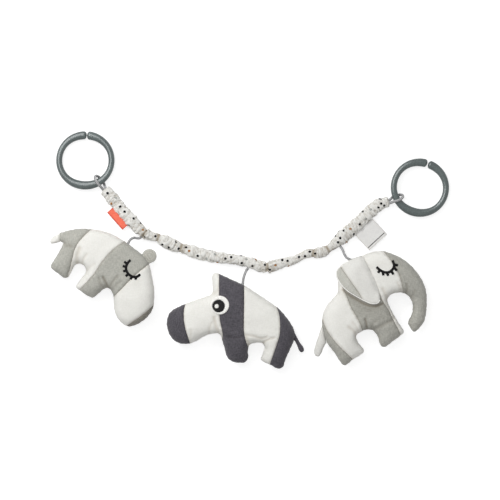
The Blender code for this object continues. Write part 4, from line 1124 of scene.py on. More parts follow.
@dataclass
class FeltEye:
    """A round felt eye: a cream ring, a black disc in it and a white pupil in the disc."""

    ring_px: Pair = (219.9, 304.6)
    disc_px: Pair = (218.7, 305.6)
    pupil_px: Pair = (216.9, 305.7)
    ring_radius: float = 9.9 * MM
    disc_radius: float = 6.7 * MM
    pupil_radius: float = 2.5 * MM
    pupil_rise: float = 0.35 * MM
    thickness: float = 0.9 * MM
    press_depth: float = 2.2 * MM
    # The larger discs get painted shade along their rims: the radius above which it shows, and how dark it
    # is.
    shaded_rim_radius: float = 8 * MM
    painted_rim_shade: float = 0.3
    sides: int = 64
    steps: int = 9

    def press(self, animal: StuffedAnimal) -> None:
        """Presses the body's under side up where the far eye lies."""
        animal.pressed.append((tuple(animal.plan.at(self.ring_px)), self.ring_radius, self.press_depth))

    def build(self, animal: StuffedAnimal, side: Side) -> None:
        """Lays the felt pieces on one side.

        Args:
            animal: the animal that they lie on.
            side: the side.
        """
        ring, disc, pupil = (animal.plan.at(spot) for spot in (self.ring_px, self.disc_px, self.pupil_px))
        layers = (
            ("ring", (ring, self.ring_radius), (disc, self.disc_radius), WHITE_FELT),
            ("disc", (disc, self.disc_radius - CLEARANCE), (pupil, self.pupil_radius), BLACK_FELT),
            ("pupil", (pupil, self.pupil_radius - CLEARANCE), (pupil, 0.0), WHITE_FELT),
        )
        for layer, outer, inner, finish in layers:
            name = f"{animal.name}_eye_{layer}_{side.name.lower()}"
            piece = self.annulus(name + "_felt", animal.skin, side.value, outer, inner)
            put(piece, animal.name, finish, name)

    def annulus(
        self, name: str, skin: Skin, side: int, outer: tuple[Vector, float], inner: tuple[Vector, float]
    ) -> Thing:
        """Makes a felt disc with rounded edges, with a hole if it has one.

        Args:
            name: the piece's name.
            skin: the skin that it lies on.
            side: 1 for the near side or -1 for the far side.
            outer: the disc's centre and radius.
            inner: the hole's centre and its radius, or zero.

        Returns:
            The felt piece.
        """
        (centre, radius), (hole, hole_radius) = outer, inner
        shares = [0.5 - math.cos(math.pi * step / self.steps) / 2 for step in range(self.steps + 1)]
        points, faces, shades = [], [], []
        for under in (False, True):
            for share in shares:
                edge = min(share if hole_radius else 1.0, 1 - share) * 2
                lift = CLEARANCE + self.thickness * math.sqrt(min(1.0, max(0.05, edge * 3.2)))
                lift += 0.0 if hole_radius else self.pupil_rise
                # The cream ring, the only disc this wide, gets painted shade along its inner and outer rims.
                painted_dark = radius > self.shaded_rim_radius and min(share, 1 - share) < 0.1
                for way in map(Vector, turns(self.sides)):
                    spot = (hole + way * max(hole_radius, 0.02 * MM)).lerp(centre + way * radius, share)
                    points.append(skin.on(spot, side, CLEARANCE * 0.2 if under else lift))
                    shades.append(self.painted_rim_shade if painted_dark else 0.0)
        top = list(range(len(shares)))
        order = top + [index + len(shares) for index in reversed(top)]
        for low, high in zip(order, order[1:] + order[:1]):
            for turn in range(self.sides):
                other = (turn + 1) % self.sides
                corners = ((low, turn), (high, turn), (high, other), (low, other))
                face = tuple(ring * self.sides + corner for ring, corner in corners)
                faces.append(face if side > 0 else face[::-1])
        return mesh_of(name, points, faces, {"crease": shades})


@dataclass
class SoftFlap:
    """A small stuffed flap sewn to a seam of an animal: a tail or a round ear."""

    name: str
    drawing_px: Pixels
    length: float
    thickness: float
    finish: ClothFinish
    quilting: tuple[float, ...] = ()
    quilt_width: float = 0.5 * MM
    quilt_depth: float = 0.35 * MM
    least: float = 0.25 * MM
    rim: float = 0.12 * MM
    tuck: float = 0.9 * MM
    pitch: float = 0.9 * MM
    fill: float = 0.5

    def build(self, animal: StuffedAnimal) -> None:
        """Builds the flap at its root on an animal.

        Args:
            animal: the animal that it is sewn to.
        """
        first_px, last_px = Vector(self.drawing_px[0]), Vector(self.drawing_px[-1])
        root_px = (first_px + last_px) / 2
        reach_px = max((Vector(point) - root_px).length for point in self.drawing_px)
        plan = Plan(root_px, animal.plan.at(root_px), self.length / reach_px)
        first, last = plan.at(first_px), plan.at(last_px)
        out = right_of((first - last).normalized())
        out *= math.copysign(1, out.dot(plan.at(self.drawing_px[len(self.drawing_px) // 2]) - plan.place))
        drawn = smooth(plan.line(self.drawing_px), OUTLINE_STEPS, closed=False)
        drawn = [drawn[0] - out * self.tuck, *drawn, drawn[-1] - out * self.tuck]
        net = Net(drawn, self.pitch)
        rise = net.swell()
        half = self.thickness / 2 * rise / rise.max()
        shade = np.zeros(len(half))
        for gap in self.quilting:
            near = closeness(net.depth - gap, self.quilt_width)
            half -= self.quilt_depth * near
            # Painted shade in the quilting grooves.
            shade = np.maximum(shade, near * 0.5)
        half = np.maximum(half, self.least)
        half[net.rim] = self.rim
        whole = np.ones(len(net.triangles), bool)
        piece = net.solid(self.name + "_cloth", whole, animal.seam_z + half, animal.seam_z - half, shade)
        put(piece, self.name, self.finish, self.name)


@dataclass
class SoftEar:
    """A large padded ear in two patches, sewn on along one edge and laid over the body."""

    drawing_px: Pixels
    seam_px: Pixels
    length: float = 51.2 * MM
    edge: float = 1.2 * MM
    crown: float = 1.8 * MM
    lift: float = 0.5 * MM
    drape_step: float = 3 * MM
    slope: float = 0.5
    curl: float = 1.3 * MM
    hold: float = 5 * MM
    curl_reach: float = 5 * MM
    rounding: float = 1.4 * MM
    groove: float = 0.55 * MM
    groove_width: float = 1.1 * MM
    lump: float = 0.25 * MM
    lump_size: float = 9 * MM
    piping: float = 0.55 * MM
    piping_pitch: float = 0.8 * MM
    piping_sides: int = 10
    pitch: float = 1.2 * MM
    fill: float = 0.3
    press_radius: float = 16 * MM
    press_spots: tuple = ((0.5, 0.36), (0.34, 0.5), (0.62, 0.62), (0.78, 0.8))

    def plan_on(self, animal: StuffedAnimal) -> Plan:
        """The ear's own plan, pinned at the top of its sewn edge."""
        span = math.dist(self.drawing_px[0], self.drawing_px[11])
        return Plan(self.drawing_px[0], animal.plan.at(self.drawing_px[0]), self.length / span)

    def press(self, animal: StuffedAnimal) -> None:
        """Presses the body's under side up where the far ear lies.

        Args:
            animal: the animal that the ear is sewn to.
        """
        outline = rows(smooth(self.plan_on(animal).line(self.drawing_px), OUTLINE_STEPS, closed=True))
        low, high = Vector(outline.min(axis=0)), Vector(outline.max(axis=0))
        size = high - low
        depth = self.edge + self.crown + self.lift + 1 * MM
        for x, y in self.press_spots:
            animal.pressed.append(((low.x + size.x * x, high.y - size.y * y), self.press_radius, depth))

    def build(self, animal: StuffedAnimal, side: Side) -> None:
        """Lays the ear on one side.

        Args:
            animal: the animal that it is sewn to.
            side: the side.
        """
        plan = self.plan_on(animal)
        outline = smooth(plan.line(self.drawing_px), OUTLINE_STEPS, closed=True)
        net = Net(outline, self.pitch, (plan.line(self.seam_px),))
        base = np.array([self.draped(animal.skin, point, side.value) for point in net.points])
        base = self.eased(net, base)
        floor = np.array([animal.skin.height(point, side.value) for point in net.points])
        sewn = Route(plan.line((*self.drawing_px[13:], self.drawing_px[0]))).read(self.pitch)
        free = np.clip(beside(rows(sewn), net.points)[0] / self.hold, 0.3, 1)
        base = floor + (np.maximum(base - floor, 0) + self.lift) * free
        edge = Route(plan.line(self.drawing_px[2:13]))
        if side is Side.NEAR:
            gap = beside(rows(edge.read(self.pitch)), net.points)[0]
            base += self.curl * np.exp(-gap / self.curl_reach)
        rise = net.swell()
        rounding = np.sqrt(np.clip(net.depth / self.rounding, 0.08, 1)) * free
        outer = base + self.edge * rounding + self.crown * rise / rise.max()
        groove = closeness(beside(net.cuts[0], net.points)[0], self.groove_width)
        outer -= self.groove * groove * np.clip(net.depth / (1.5 * MM), 0, 1)
        outer += self.lump * net.lumps(self.lump_size, 2.0)
        which = beside(net.cuts[0], net.points[net.triangles].mean(axis=1))[2] > 0
        body = f"{animal.name}_ear_{side.name.lower()}"
        faces = animal.seam_z + side.value * np.array([base, outer])
        for chosen, patch, finish in ((~which, "border", EAR_GREY), (which, "flap", PALE)):
            # groove * 0.4 is painted shade in the groove between the two patches.
            piece = net.solid(
                f"{body}_{patch}_cloth", chosen, faces.max(axis=0), faces.min(axis=0), groove * 0.4
            )
            put(piece, body, finish, f"{body}_{patch}")
        put(self.trim(f"{body}_piping", net, edge, faces.mean(axis=0)), body, PIPING)

    def trim(self, name: str, net: Net, edge: Route, heights: np.ndarray) -> Thing:
        """Makes the thin cream piping along the ear's free edge.

        Args:
            name: the piece's name.
            net: the ear's net.
            edge: the free edge.
            heights: the height of the ear's middle at each point of the net.

        Returns:
            The piping.
        """
        places, levels = net.points[net.rim], heights[net.rim]
        sections = []
        for spot in edge.read(self.piping_pitch):
            nearest = np.hypot(*(places - np.array(tuple(spot))).T).argmin()
            out = right_of(edge.along(edge.nearest(spot)))
            sections.append([
                level(spot + out * self.piping * cos, levels[nearest] + self.piping * 1.5 * sin)
                for cos, sin in turns(self.piping_sides)
            ])
        return lofted(name, sections)

    def draped(self, skin: Skin, place: np.ndarray, side: int) -> float:
        """Finds how high a soft sheet lies over the skin at a place.

        Args:
            skin: the skin.
            place: the place.
            side: 1 for the near side or -1 for the far side.

        Returns:
            The height.
        """
        best = skin.height(place, side)
        for reach in (self.drape_step * ring for ring in (1, 2, 3)):
            for cos, sin in turns(8):
                spot = (place[0] + reach * cos, place[1] + reach * sin)
                best = max(best, skin.height(spot, side) - reach * self.slope)
        return best

    @staticmethod
    def eased(net: Net, heights: np.ndarray) -> np.ndarray:
        """Smooths heights over a net, as cloth does.

        Args:
            net: the net.
            heights: the height at each point.

        Returns:
            The smoothed heights.
        """
        edges = Net.edges(net.triangles)
        edges = np.concatenate([edges, edges[:, ::-1]])
        count = np.bincount(edges[:, 0], minlength=len(heights))
        for _ in range(6):
            heights = (heights + np.bincount(edges[:, 0], heights[edges[:, 1]], len(heights)) / count) / 2
        return heights


@dataclass(frozen=True)
class Wrinkle:
    """One kind of wrinkle of the cover: its pitch along the band and its change round it."""

    pitch: float
    spread: float
    layer: float = 0.0

    def at(self, distance: float, turn: float) -> float:
        """The wrinkle's noise at a place, from about -1 to 1."""
        about = (math.cos(turn) * self.spread + self.layer, math.sin(turn) * self.spread)
        return noise.noise(Vector((distance / self.pitch, *about)))


@dataclass
class Band:
    """The gathered cover over its elastic, in three lengths, one round each fold."""

    route_px: Pixels
    width_shares: tuple[float, ...]
    folds_px: Pixels
    pinches_px: Pixels
    dots_px: dict
    span: float = 301 * MM
    width: float = 14 * MM
    height: float = 10.6 * MM
    gather_length: float = 10.5 * MM
    gather_share: float = 0.05
    dome: float = 1.8 * MM
    pitch: float = 0.7 * MM
    sides: int = 60
    ruffle: Wrinkle = Wrinkle(4.4 * MM, 0.8)
    crinkles: Wrinkle = Wrinkle(2.0 * MM, 1.7, 9.0)
    pleats: Wrinkle = Wrinkle(1.75 * MM, 0.7, 4.0)
    pleat: float = 1.7 * MM
    valley: float = 0.14
    crinkle: float = 0.55 * MM
    gathers: float = 1.9 * MM
    gather_reach: float = 7.5 * MM
    tight_from: float = 0.62
    tight_crowd: float = 1.6
    pinch: float = 1.1 * MM
    pinch_reach: float = 1.5 * MM
    least_size: float = 0.15
    least_height: float = 0.15 * MM
    dot_radius: float = 1.36 * MM
    dot_rings: tuple[float, ...] = (0.34, 0.67, 1.0)
    dot_sides: int = 16
    under_pitch: float = 5.6 * MM
    print_lift: float = 0.32 * MM
    bend: float = 8 * MM
    fill: float = 0.25

    def __post_init__(self) -> None:
        """Lays the route down at the band's size."""
        span = self.route_px[-1][0] - self.route_px[0][0]
        self.plan = Plan(ORIGIN_PX, Vector((0, 0)), self.span / span)
        self.route = Route(self.plan.line(self.route_px))
        self.centre_z = self.height / 2 * max(self.width_shares) * (1 + self.gather_share)
        self.folds = [self.route.nearest(self.plan.at(fold)) for fold in self.folds_px]
        self.pinches = [self.route.nearest(self.plan.at(pinch)) for pinch in self.pinches_px]

    def share(self, distance: float) -> float:
        """Finds how wide the band is, with its gathers and its rounded ends.

        Args:
            distance: the distance along the band.

        Returns:
            The share of its full width and height.
        """
        puff = float(np.interp(distance, self.route.knots, self.width_shares))
        puff *= 1 + self.gather_share * math.sin(math.tau * distance / self.gather_length)
        past = 1 - min(distance, self.route.length - distance) / self.dome
        return puff * math.sqrt(max(0.03, 1 - max(past, 0.0) ** 2))

    def pinched(self, distance: float, reach: float) -> float:
        """How near a pinch is, from 0 to 1."""
        gap = min(abs(distance - pinch) for pinch in self.pinches)
        return math.exp(-((gap / reach) ** 2))

    def surface(self, distance: float, turn: float, lift: float = 0.0) -> tuple[Vector, float]:
        """A point of the wrinkled cover.

        Args:
            distance: the distance along the band.
            turn: the turn round it, where a quarter turn is its top.
            lift: how far above the cloth the point is.

        Returns:
            The point, and the painted shade of the wrinkle there, from 0 to 1.
        """
        share = self.share(distance)
        crowd = self.tight_crowd if distance > self.route.length * self.tight_from else 1.0
        ruffle = self.ruffle.at(distance * crowd, turn)
        crinkle = self.crinkles.at(distance * crowd, turn)
        pleats = self.pleats.at(distance, turn)
        valley = max(0.0, 1 - abs(ruffle) / self.valley)
        gathered = self.pinched(distance, self.gather_reach)
        sink = self.pleat * (0.62 * valley - 0.3 * min(abs(ruffle), 0.45)) - self.crinkle * crinkle
        sink += self.pinch * self.pinched(distance, self.pinch_reach)
        sink += self.gathers * gathered * (0.25 - pleats)
        size = max(self.least_size, 1 - sink * share / (self.height / 2)) * share
        across = right_of(self.route.along(distance))
        flat = self.route.at(distance) + across * (self.width / 2 * size + lift) * math.cos(turn)
        high = self.centre_z + (self.height / 2 * size + lift) * math.sin(turn)
        # Painted shade in the ruffle valleys, the crinkles and the gathered pleats.
        depth = min(1.0, 0.5 * valley + max(0.0, -crinkle) * 0.7 + 1.6 * gathered * max(0.0, -pleats))
        return level(flat, max(high, self.least_height)), depth

    def build(self) -> None:
        """Builds the three lengths of cover and their printed dots."""
        cuts = [(before + after) / 2 for before, after in zip(self.folds, self.folds[1:])]
        spans = zip([0.0, *cuts], [*cuts, self.route.length])
        lengths = (
            ("hippo_end", ("left", "centre"), ("left",)),
            ("middle", ("centre", "right"), ("centre",)),
            ("elephant_end", ("right", "far_right"), ("right", "far_right")),
        )
        for fold, (start, end), (name, bodies, nodes) in zip(self.folds, spans, lengths):
            piece = self.length_of("band_cover_" + name, start, end)
            self.join(piece, PRINT, fold, bodies)
            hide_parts(*("band_cover_" + node for node in nodes))
            for colour, finish in DOTS.items():
                dots = self.dots(f"band_cover_{name}_{colour}_dots", colour, start, end)
                self.join(dots, finish, fold, bodies)

    def join(self, piece: Thing, finish: Finish, fold: float, bodies: tuple[str, str]) -> None:
        """Dresses a piece and bakes its place into its mesh.

        Args:
            piece: the piece.
            finish: its finish.
            fold: the distance of the fold along the band.
            bodies: the two lengths of the band that meet there.
        """
        dress(piece, finish)
        ends = [level(self.route.at(fold + step), self.centre_z) for step in (-self.bend, self.bend)]
        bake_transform(piece)
        LOG.info("%s: %d points across %s and %s", piece.name, len(piece.data.vertices), *bodies)

    def length_of(self, name: str, start: float, end: float) -> Thing:
        """Makes one length of the cover.

        Args:
            name: the piece's name.
            start: where it starts along the band.
            end: where it ends.

        Returns:
            The cover.
        """
        count = round((end - start) / self.pitch)
        sections, creases, pinches = [], [], []
        for stop in (start + (end - start) * step / count for step in range(count + 1)):
            found = [self.surface(stop, math.tau * side / self.sides) for side in range(self.sides)]
            sections.append([point for point, _ in found])
            creases += [depth for _, depth in found]
            # Painted shade at the pinches.
            pinches += [self.pinched(stop, self.pinch_reach)] * self.sides
        return lofted(name, sections, {"crease": creases, "pinch": pinches})

    def dots(self, name: str, colour: str, start: float, end: float) -> Thing:
        """Makes the printed dots of one colour on one length.

        Args:
            name: the piece's name.
            colour: black, tan or grey.
            start: where the length starts along the band.
            end: where it ends.

        Returns:
            The dots as one piece.
        """
        spots = []
        for place in self.plan.line(self.dots_px[colour]):
            distance = self.route.nearest(place)
            across = (place - self.route.at(distance)).dot(right_of(self.route.along(distance)))
            half = self.width / 2 * self.share(distance)
            spots.append((distance, math.acos(min(0.97, max(-0.97, across / half)))))
        points, faces = [], []
        for distance, turn in spots + self.hidden_spots(colour):
            if start <= distance < end:
                self.dot(distance, turn, points, faces)
        return mesh_of(name, points, faces)

    def hidden_spots(self, colour: str) -> list[Pair]:
        """Finds places for dots on the under side, spread like those above.

        Args:
            colour: black, tan or grey.

        Returns:
            For each dot its distance along the band and its turn round it.
        """
        order = ("black", "black", "tan", "black", "grey", "black", "black", "grey", "tan")
        found = []
        for index in range(1, int(self.route.length / self.under_pitch)):
            if order[index % len(order)] == colour:
                stray = noise.noise(Vector((index * 3.7, 1.3, 0.0)))
                turn = math.pi * (1.28 if index % 2 else 1.66) + stray * 0.5
                found.append(((index + stray) * self.under_pitch, turn))
        return found

    def dot(self, distance: float, turn: float, points: list, faces: list) -> None:
        """Prints one dot on the cover.

        Args:
            distance: the distance along the band.
            turn: the turn round it.
            points: the list that its points are added to.
            faces: the list that its faces are added to.
        """
        first, steps = len(points), self.dot_sides
        round_size = max(self.width, self.height) / 2 * max(self.share(distance), 0.4)
        points.append(self.surface(distance, turn, self.print_lift)[0])
        for ring in self.dot_rings:
            for cos, sin in turns(steps):
                along = distance + self.dot_radius * ring * cos
                about = turn + self.dot_radius * ring * sin / round_size
                points.append(self.surface(along, about, self.print_lift * (1.0 if ring < 1 else 0.5))[0])
        for step in range(steps):
            other = (step + 1) % steps
            faces.append((first, first + 1 + other, first + 1 + step))
            for inner in (first + 1, first + 1 + steps):
                faces.append((inner + step, inner + other, inner + steps + other, inner + steps + step))


@dataclass
class CordRun:
    """A free cord: its route, and how far it is sewn in at both ends."""

    name: str
    body: str
    points_mm: tuple[Triple, ...]
    bend_in: float = 2.5 * MM
    bend_out: float = 1.5 * MM
    diameter: float = 2.8 * MM
    pitch: float = 0.9 * MM
    sides: int = 14

    def lay(self, lead_in: Points, lead_out: Points, bend: tuple[Vector, Vector]) -> None:
        """Makes the cord, dresses it and hides the CAD node that it stands for.

        Args:
            lead_in: the points of its sewn-in start.
            lead_out: the points of its sewn-in end.
            bend: not used.
        """
        points = [Vector(point) * MM for point in self.points_mm]
        path = Route(lead_in + points + lead_out).read(self.pitch)
        sections = []
        across = (path[1] - path[0]).cross(UP).normalized()
        for index, point in enumerate(path):
            run = (path[min(index + 1, len(path) - 1)] - path[max(index - 1, 0)]).normalized()
            across = (across - run * across.dot(run)).normalized()
            other = run.cross(across)
            sections.append([
                point + (across * cos + other * sin) * self.diameter / 2 for cos, sin in turns(self.sides)
            ])
        piece = lofted(self.name + "_braid", sections)
        dress(piece, CORD)
        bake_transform(piece)
        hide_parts(self.name)


@dataclass
class EndLoop(CordRun):
    """The cord loop that ties a clip ring to an end of the band."""

    at_start: bool = True
    sewn_in: float = 6 * MM

    def build(self, band: Band) -> None:
        """Builds the loop.

        Args:
            band: the band that it is sewn into.
        """
        stop = 0.0 if self.at_start else band.route.length
        inward = band.route.along(stop) * (1 if self.at_start else -1)
        first, last = (Vector(self.points_mm[index]) * MM for index in (0, -1))
        inner = [level(end.xy + inward * self.sewn_in, band.centre_z) for end in (first, last)]
        middle = (first + last) / 2
        bend = (middle + level(inward, 0) * self.bend_in, middle - level(inward, 0) * self.bend_out)
        self.lay(inner[:1], inner[1:], bend)


@dataclass
class Tether(CordRun):
    """The cord that hangs an animal from the band."""

    sewn_in: float = 9 * MM

    def build(self, band: Band) -> None:
        """Builds the tether.

        Args:
            band: the band that it is sewn into.
        """
        first, last = (Vector(self.points_mm[index]) * MM for index in (0, -1))
        way = (last - Vector(self.points_mm[-2]) * MM).normalized()
        inside = level(band.route.at(band.route.nearest(first.xy)), band.centre_z)
        back = (inside - first).normalized()
        lead_in = [first + back * self.sewn_in, first + back * self.sewn_in / 2]
        lead_out = [last + way * self.sewn_in / 2, last + way * self.sewn_in]
        self.lay(lead_in, lead_out, (first + back * self.bend_in, first - back * self.bend_out))


@dataclass
class ClipRing:
    """An open plastic ring with a thin gap between two wide tips."""

    side: str
    centre_mm: Triple
    axis: Triple
    gap_way_px: Pair
    diameter: float = 62 * MM
    height: float = 7.4 * MM
    foot_width: float = 9.1 * MM
    side_width: float = 6.6 * MM
    tip_width: float = 8.8 * MM
    gap: float = 1.0 * MM
    swelling: float = 1.6
    tip_dome: float = 0.36
    tip_power: float = 2.6
    flatness: Pair = (0.94, 0.9)
    stations: int = 150
    sides: int = 28

    def width(self, turn: float) -> float:
        """Finds the ring's width.

        Args:
            turn: the turn from its gap.

        Returns:
            The width.
        """
        from_gap = abs(math.remainder(turn, math.tau)) / math.pi
        rise = math.cos(math.tau * from_gap) / 2 + 0.5
        end = self.tip_width if from_gap < 0.5 else self.foot_width
        return self.side_width + (end - self.side_width) * rise**self.swelling

    def build(self) -> None:
        """Lofts the ring through rounded sections."""
        centre = Vector(self.centre_mm) * MM
        up = Vector(self.axis).normalized()
        gap_way = Vector((self.gap_way_px[0], -self.gap_way_px[1], 0))
        gap_way = (gap_way - up * gap_way.dot(up)).normalized()
        side_way = up.cross(gap_way)
        middle = self.diameter / 2 - self.tip_width / 2
        half_gap = self.gap / 2 / middle
        dome = self.tip_width * self.tip_dome / middle
        across_power, up_power = self.flatness
        sections = []
        for step in range(self.stations + 1):
            share = 0.5 - 0.5 * math.cos(math.pi * step / self.stations)
            turn = half_gap + (math.tau - 2 * half_gap) * share
            from_end = min(turn, math.tau - turn) - half_gap
            fullness = math.sqrt(max(0.04, 1 - max(0.0, 1 - from_end / dome) ** self.tip_power))
            width = self.width(turn)
            radius = self.diameter / 2 - width / 2
            way = gap_way * math.cos(turn) + side_way * math.sin(turn)
            ring = []
            for cos, sin in turns(self.sides):
                out = math.copysign(abs(cos) ** across_power, cos) * width / 2 * fullness
                rise = math.copysign(abs(sin) ** up_power, sin) * self.height / 2 * fullness
                ring.append(centre + way * (radius + out) + up * rise)
            sections.append(ring)
        piece = lofted(f"clip_ring_{self.side}_shell", sections)
        put(piece, f"clip_ring_{self.side}", SLATE, f"clip_ring_{self.side}")


@dataclass
class Label:
    """A label whose one edge is sewn into the band's lower seam."""

    name: str
    sewn_px: Pixels
    length: float
    width: float
    finish: ClothFinish
    layer: float = 0.35 * MM
    tuck: float = 1.2 * MM
    wave: float = 0.35 * MM
    selvedge: float = 0.9 * MM
    edge_shade: float = 0.2
    pitch: float = 0.45 * MM

    def frame_on(self, band: Band) -> tuple[Vector, Vector, Vector]:
        """Finds how the label lies.

        Args:
            band: the band that it is sewn to.

        Returns:
            The middle of the sewn edge, the way along it, and the way out of the band.
        """
        first, second = (band.plan.at(point) for point in self.sewn_px)
        along = (second - first).normalized()
        return (first + second) / 2, along, right_of(along)

    def sway(self, shift: float, away: float) -> float:
        """How far the cloth waves up at a shift along the band and a way out of it."""
        return self.wave * max(0.0, away / self.width) * math.sin(shift / self.length * math.pi * 1.7 + 0.6)

    def outs(self) -> list[float]:
        """The steps from the tucked edge out to the free edge."""
        whole, count = self.width + self.tuck, round((self.width + self.tuck) / self.pitch)
        return [whole * step / count - self.tuck for step in range(count + 1)]

    def profile(self) -> list[Pair]:
        """The section of one layer of cloth: pairs of the way out and the height."""
        outs, half = self.outs(), self.layer / 2
        return [(out, half) for out in outs] + [(out, -half) for out in reversed(outs)]

    def build(self, band: Band) -> None:
        """Builds the label.

        Args:
            band: the band that it is sewn to.
        """
        middle, along, out = self.frame_on(band)
        count = round(self.length / self.pitch)
        sections, shades = [], []
        for step in range(count + 1):
            shift = self.length * (step / count - 0.5)
            ring = []
            for away, rise in self.profile():
                inset = min(self.length / 2 - abs(shift), self.width - away)
                shades.append(self.edge_shade if inset < self.selvedge else 0.0)
                spot = middle + along * shift + out * away
                ring.append(level(spot, band.centre_z + rise + self.sway(shift, away)))
            sections.append(ring)
        piece = lofted(self.name + "_cloth", sections, {"crease": shades})
        put(piece, self.name, self.finish, self.name)
        self.declare(piece)

    def declare(self, piece: Thing) -> None:
        """Does nothing."""


@dataclass
class FoldedLabel(Label):
    """A short ribbon folded double, with its fold at the free edge."""

    def profile(self) -> list[Pair]:
        """Finds the section of the folded ribbon: out along the top, round the fold and back below.

        Returns:
            Pairs of the way out and the height.
        """
        outs = self.outs()
        outer, inner = self.layer * 1.5, self.layer * 0.5
        fold = [math.pi / 2 - math.pi * step / 8 for step in range(1, 8)]
        ring = [(out, outer) for out in outs]
        ring += [(self.width + outer * math.cos(turn), outer * math.sin(turn)) for turn in fold]
        ring += [(out, -outer) for out in reversed(outs)]
        ring += [(out, -inner) for out in outs]
        ring += [(self.width + inner * math.cos(turn), -inner * math.sin(turn)) for turn in fold]
        ring += [(out, inner) for out in reversed(outs)]
        return ring

    def declare(self, piece: Thing) -> None:
        """Does nothing."""


@dataclass
class CareLabel(Label):
    """A plain satin label with one stitched line near its free edge."""

    line_inset: float = 3.1 * MM
    line_width: float = 0.95 * MM
    line_share: float = 0.92
    line_raised: float = 0.16 * MM
    line_steps: int = 24

    def build(self, band: Band) -> None:
        """Builds the label and its stitched line.

        Args:
            band: the band that it is sewn to.
        """
        super().build(band)
        middle, along, out = self.frame_on(band)
        away = self.width - self.line_inset
        sections = []
        for step in range(self.line_steps + 1):
            shift = self.length * self.line_share * (step / self.line_steps - 0.5)
            spot = middle + along * shift + out * away
            top = band.centre_z + self.sway(shift, away) + self.layer / 2
            sections.append([
                level(spot + out * self.line_width / 2 * cos, top + self.line_raised * max(sin, -0.5))
                for cos, sin in turns(8)
            ])
        put(lofted(self.name + "_line", sections), self.name, LINE)


@dataclass(frozen=True)
class Lamp:
    """A round soft lamp that shines at the toy; a glint is only mirrored, and lights nothing."""

    name: str
    size: float
    power: float
    place: Triple
    glint: bool = False

    def hang(self) -> None:
        """Hangs the lamp."""
        lamp = bpy.data.lights.new(self.name, "AREA")
        lamp.shape = "DISK"
        lamp.size = self.size
        lamp.energy = self.power
        made = bpy.data.objects.new(self.name, lamp)
        made.location = self.place
        made.rotation_euler = (-made.location).to_track_quat("-Z", "Y").to_euler()
        made.visible_glossy = self.glint
        made.visible_diffuse = not self.glint
        bpy.context.scene.collection.objects.link(made)


@dataclass
class Studio:
    """The floor, the light and the camera that looks straight down."""

    view_px: Pair = (250.0, 250.0)
    distance: float = 5.0
    focus_height: float = 11 * MM
    sensor: float = 36.0
    clip_end: float = 20.0
    reach: float = 4.0
    matt: float = 0.82
    faint: float = 0.5
    glow: float = 0.74
    ambient: float = 0.48
    lamps: tuple[Lamp, ...] = (
        Lamp("soft_lamp", 1.1, 4.6, (-0.3, 0.45, 1.4)),
        Lamp("window_lamp", 0.5, 10.5, (-0.75, 0.8, 1.15)),
        Lamp("glint_lamp", 1.6, 38.0, (-0.72, 0.72, 1.25), True),
    )

    def camera(self) -> None:
        """Sets the camera so that one plan unit is one pixel at the toy's middle height."""
        data = bpy.data.cameras.new("camera")
        data.sensor_width = self.sensor
        data.lens = self.sensor * self.distance / (FRAME_PX * UNIT)
        data.clip_end = self.clip_end
        made = bpy.data.objects.new("camera", data)
        across = (self.view_px[0] - ORIGIN_PX[0]) * UNIT
        up = (ORIGIN_PX[1] - self.view_px[1]) * UNIT
        made.location = (across, up, self.distance + self.focus_height)
        bpy.context.scene.collection.objects.link(made)
        bpy.context.scene.camera = made

    def floor(self) -> None:
        """Lays a pale floor that keeps the toy's shadow."""
        corners = [(x * self.reach, y * self.reach, 0) for x, y in ((-1, -1), (1, -1), (1, 1), (-1, 1))]
        piece = mesh_of("floor", corners, [(0, 1, 2, 3)])
        graph = Graph("pale_floor")
        graph.nodes.remove(graph.shader)
        seen = self.direct(graph)
        matt, faint = (
            graph.add("ShaderNodeBsdfDiffuse", None, {"Color": (share, share, share, 1.0)}).outputs[0]
            for share in (self.matt, self.faint)
        )
        glow = graph.add("ShaderNodeEmission", None, {"Strength": self.glow}).outputs[0]
        bright = graph.add("ShaderNodeAddShader", None, {0: faint, 1: glow}).outputs[0]
        mixed = graph.add("ShaderNodeMixShader", None, {0: seen, 1: matt, 2: bright}).outputs[0]
        graph.feed(graph.nodes["Material Output"].inputs["Surface"], mixed)
        piece.data.materials.append(graph.owner)
        self.ground = piece

    def keep_under(self, body: str) -> None:
        """Holds the floor below the farthest places of a body, however its joints turn.

        Args:
            body: the body.
        """
        places = rows([point.co for piece in RIDERS[body] for point in piece.data.vertices])
        for cos, sin in turns(8):
            probe = bpy.data.objects.new(f"{body}_probe", None)
            probe.location = places[(places @ (cos, sin, -0.6)).argmax()]
            bpy.context.scene.collection.objects.link(probe)
            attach(probe, body)
            hold = self.ground.constraints.new("FLOOR")
            hold.target = probe
            hold.floor_location = "FLOOR_NEGATIVE_Z"

    @staticmethod
    def direct(graph: Graph) -> Socket:
        """Tells how a surface is seen.

        Args:
            graph: the nodes of that surface.

        Returns:
            One where the camera, a mirror or glass sees it, or else zero.
        """
        path = graph.add("ShaderNodeLightPath").outputs
        glossy = graph.maths("MAXIMUM", path["Is Glossy Ray"], path["Is Transmission Ray"])
        return graph.maths("MAXIMUM", path["Is Camera Ray"], glossy)

    def light(self) -> None:
        """Sets an even sky, which is white where it is seen or mirrored."""
        world = bpy.data.worlds.new("sky")
        bpy.context.scene.world = world
        graph = Graph("sky", world)
        graph.nodes.remove(graph.nodes["Background"])
        soft, white = (
            graph.add("ShaderNodeBackground", None, {"Color": (1, 1, 1, 1), "Strength": strength}).outputs[0]
            for strength in (self.ambient, 1.0)
        )
        mixed = graph.add("ShaderNodeMixShader", None, {0: self.direct(graph), 1: soft, 2: white}).outputs[0]
        graph.feed(graph.nodes["World Output"].inputs["Surface"], mixed)

    def build(self) -> None:
        """Sets the whole studio."""
        self.camera()
        self.floor()
        self.light()
        for lamp in self.lamps:
            lamp.hang()
        bpy.context.scene.view_settings.view_transform = "Standard"


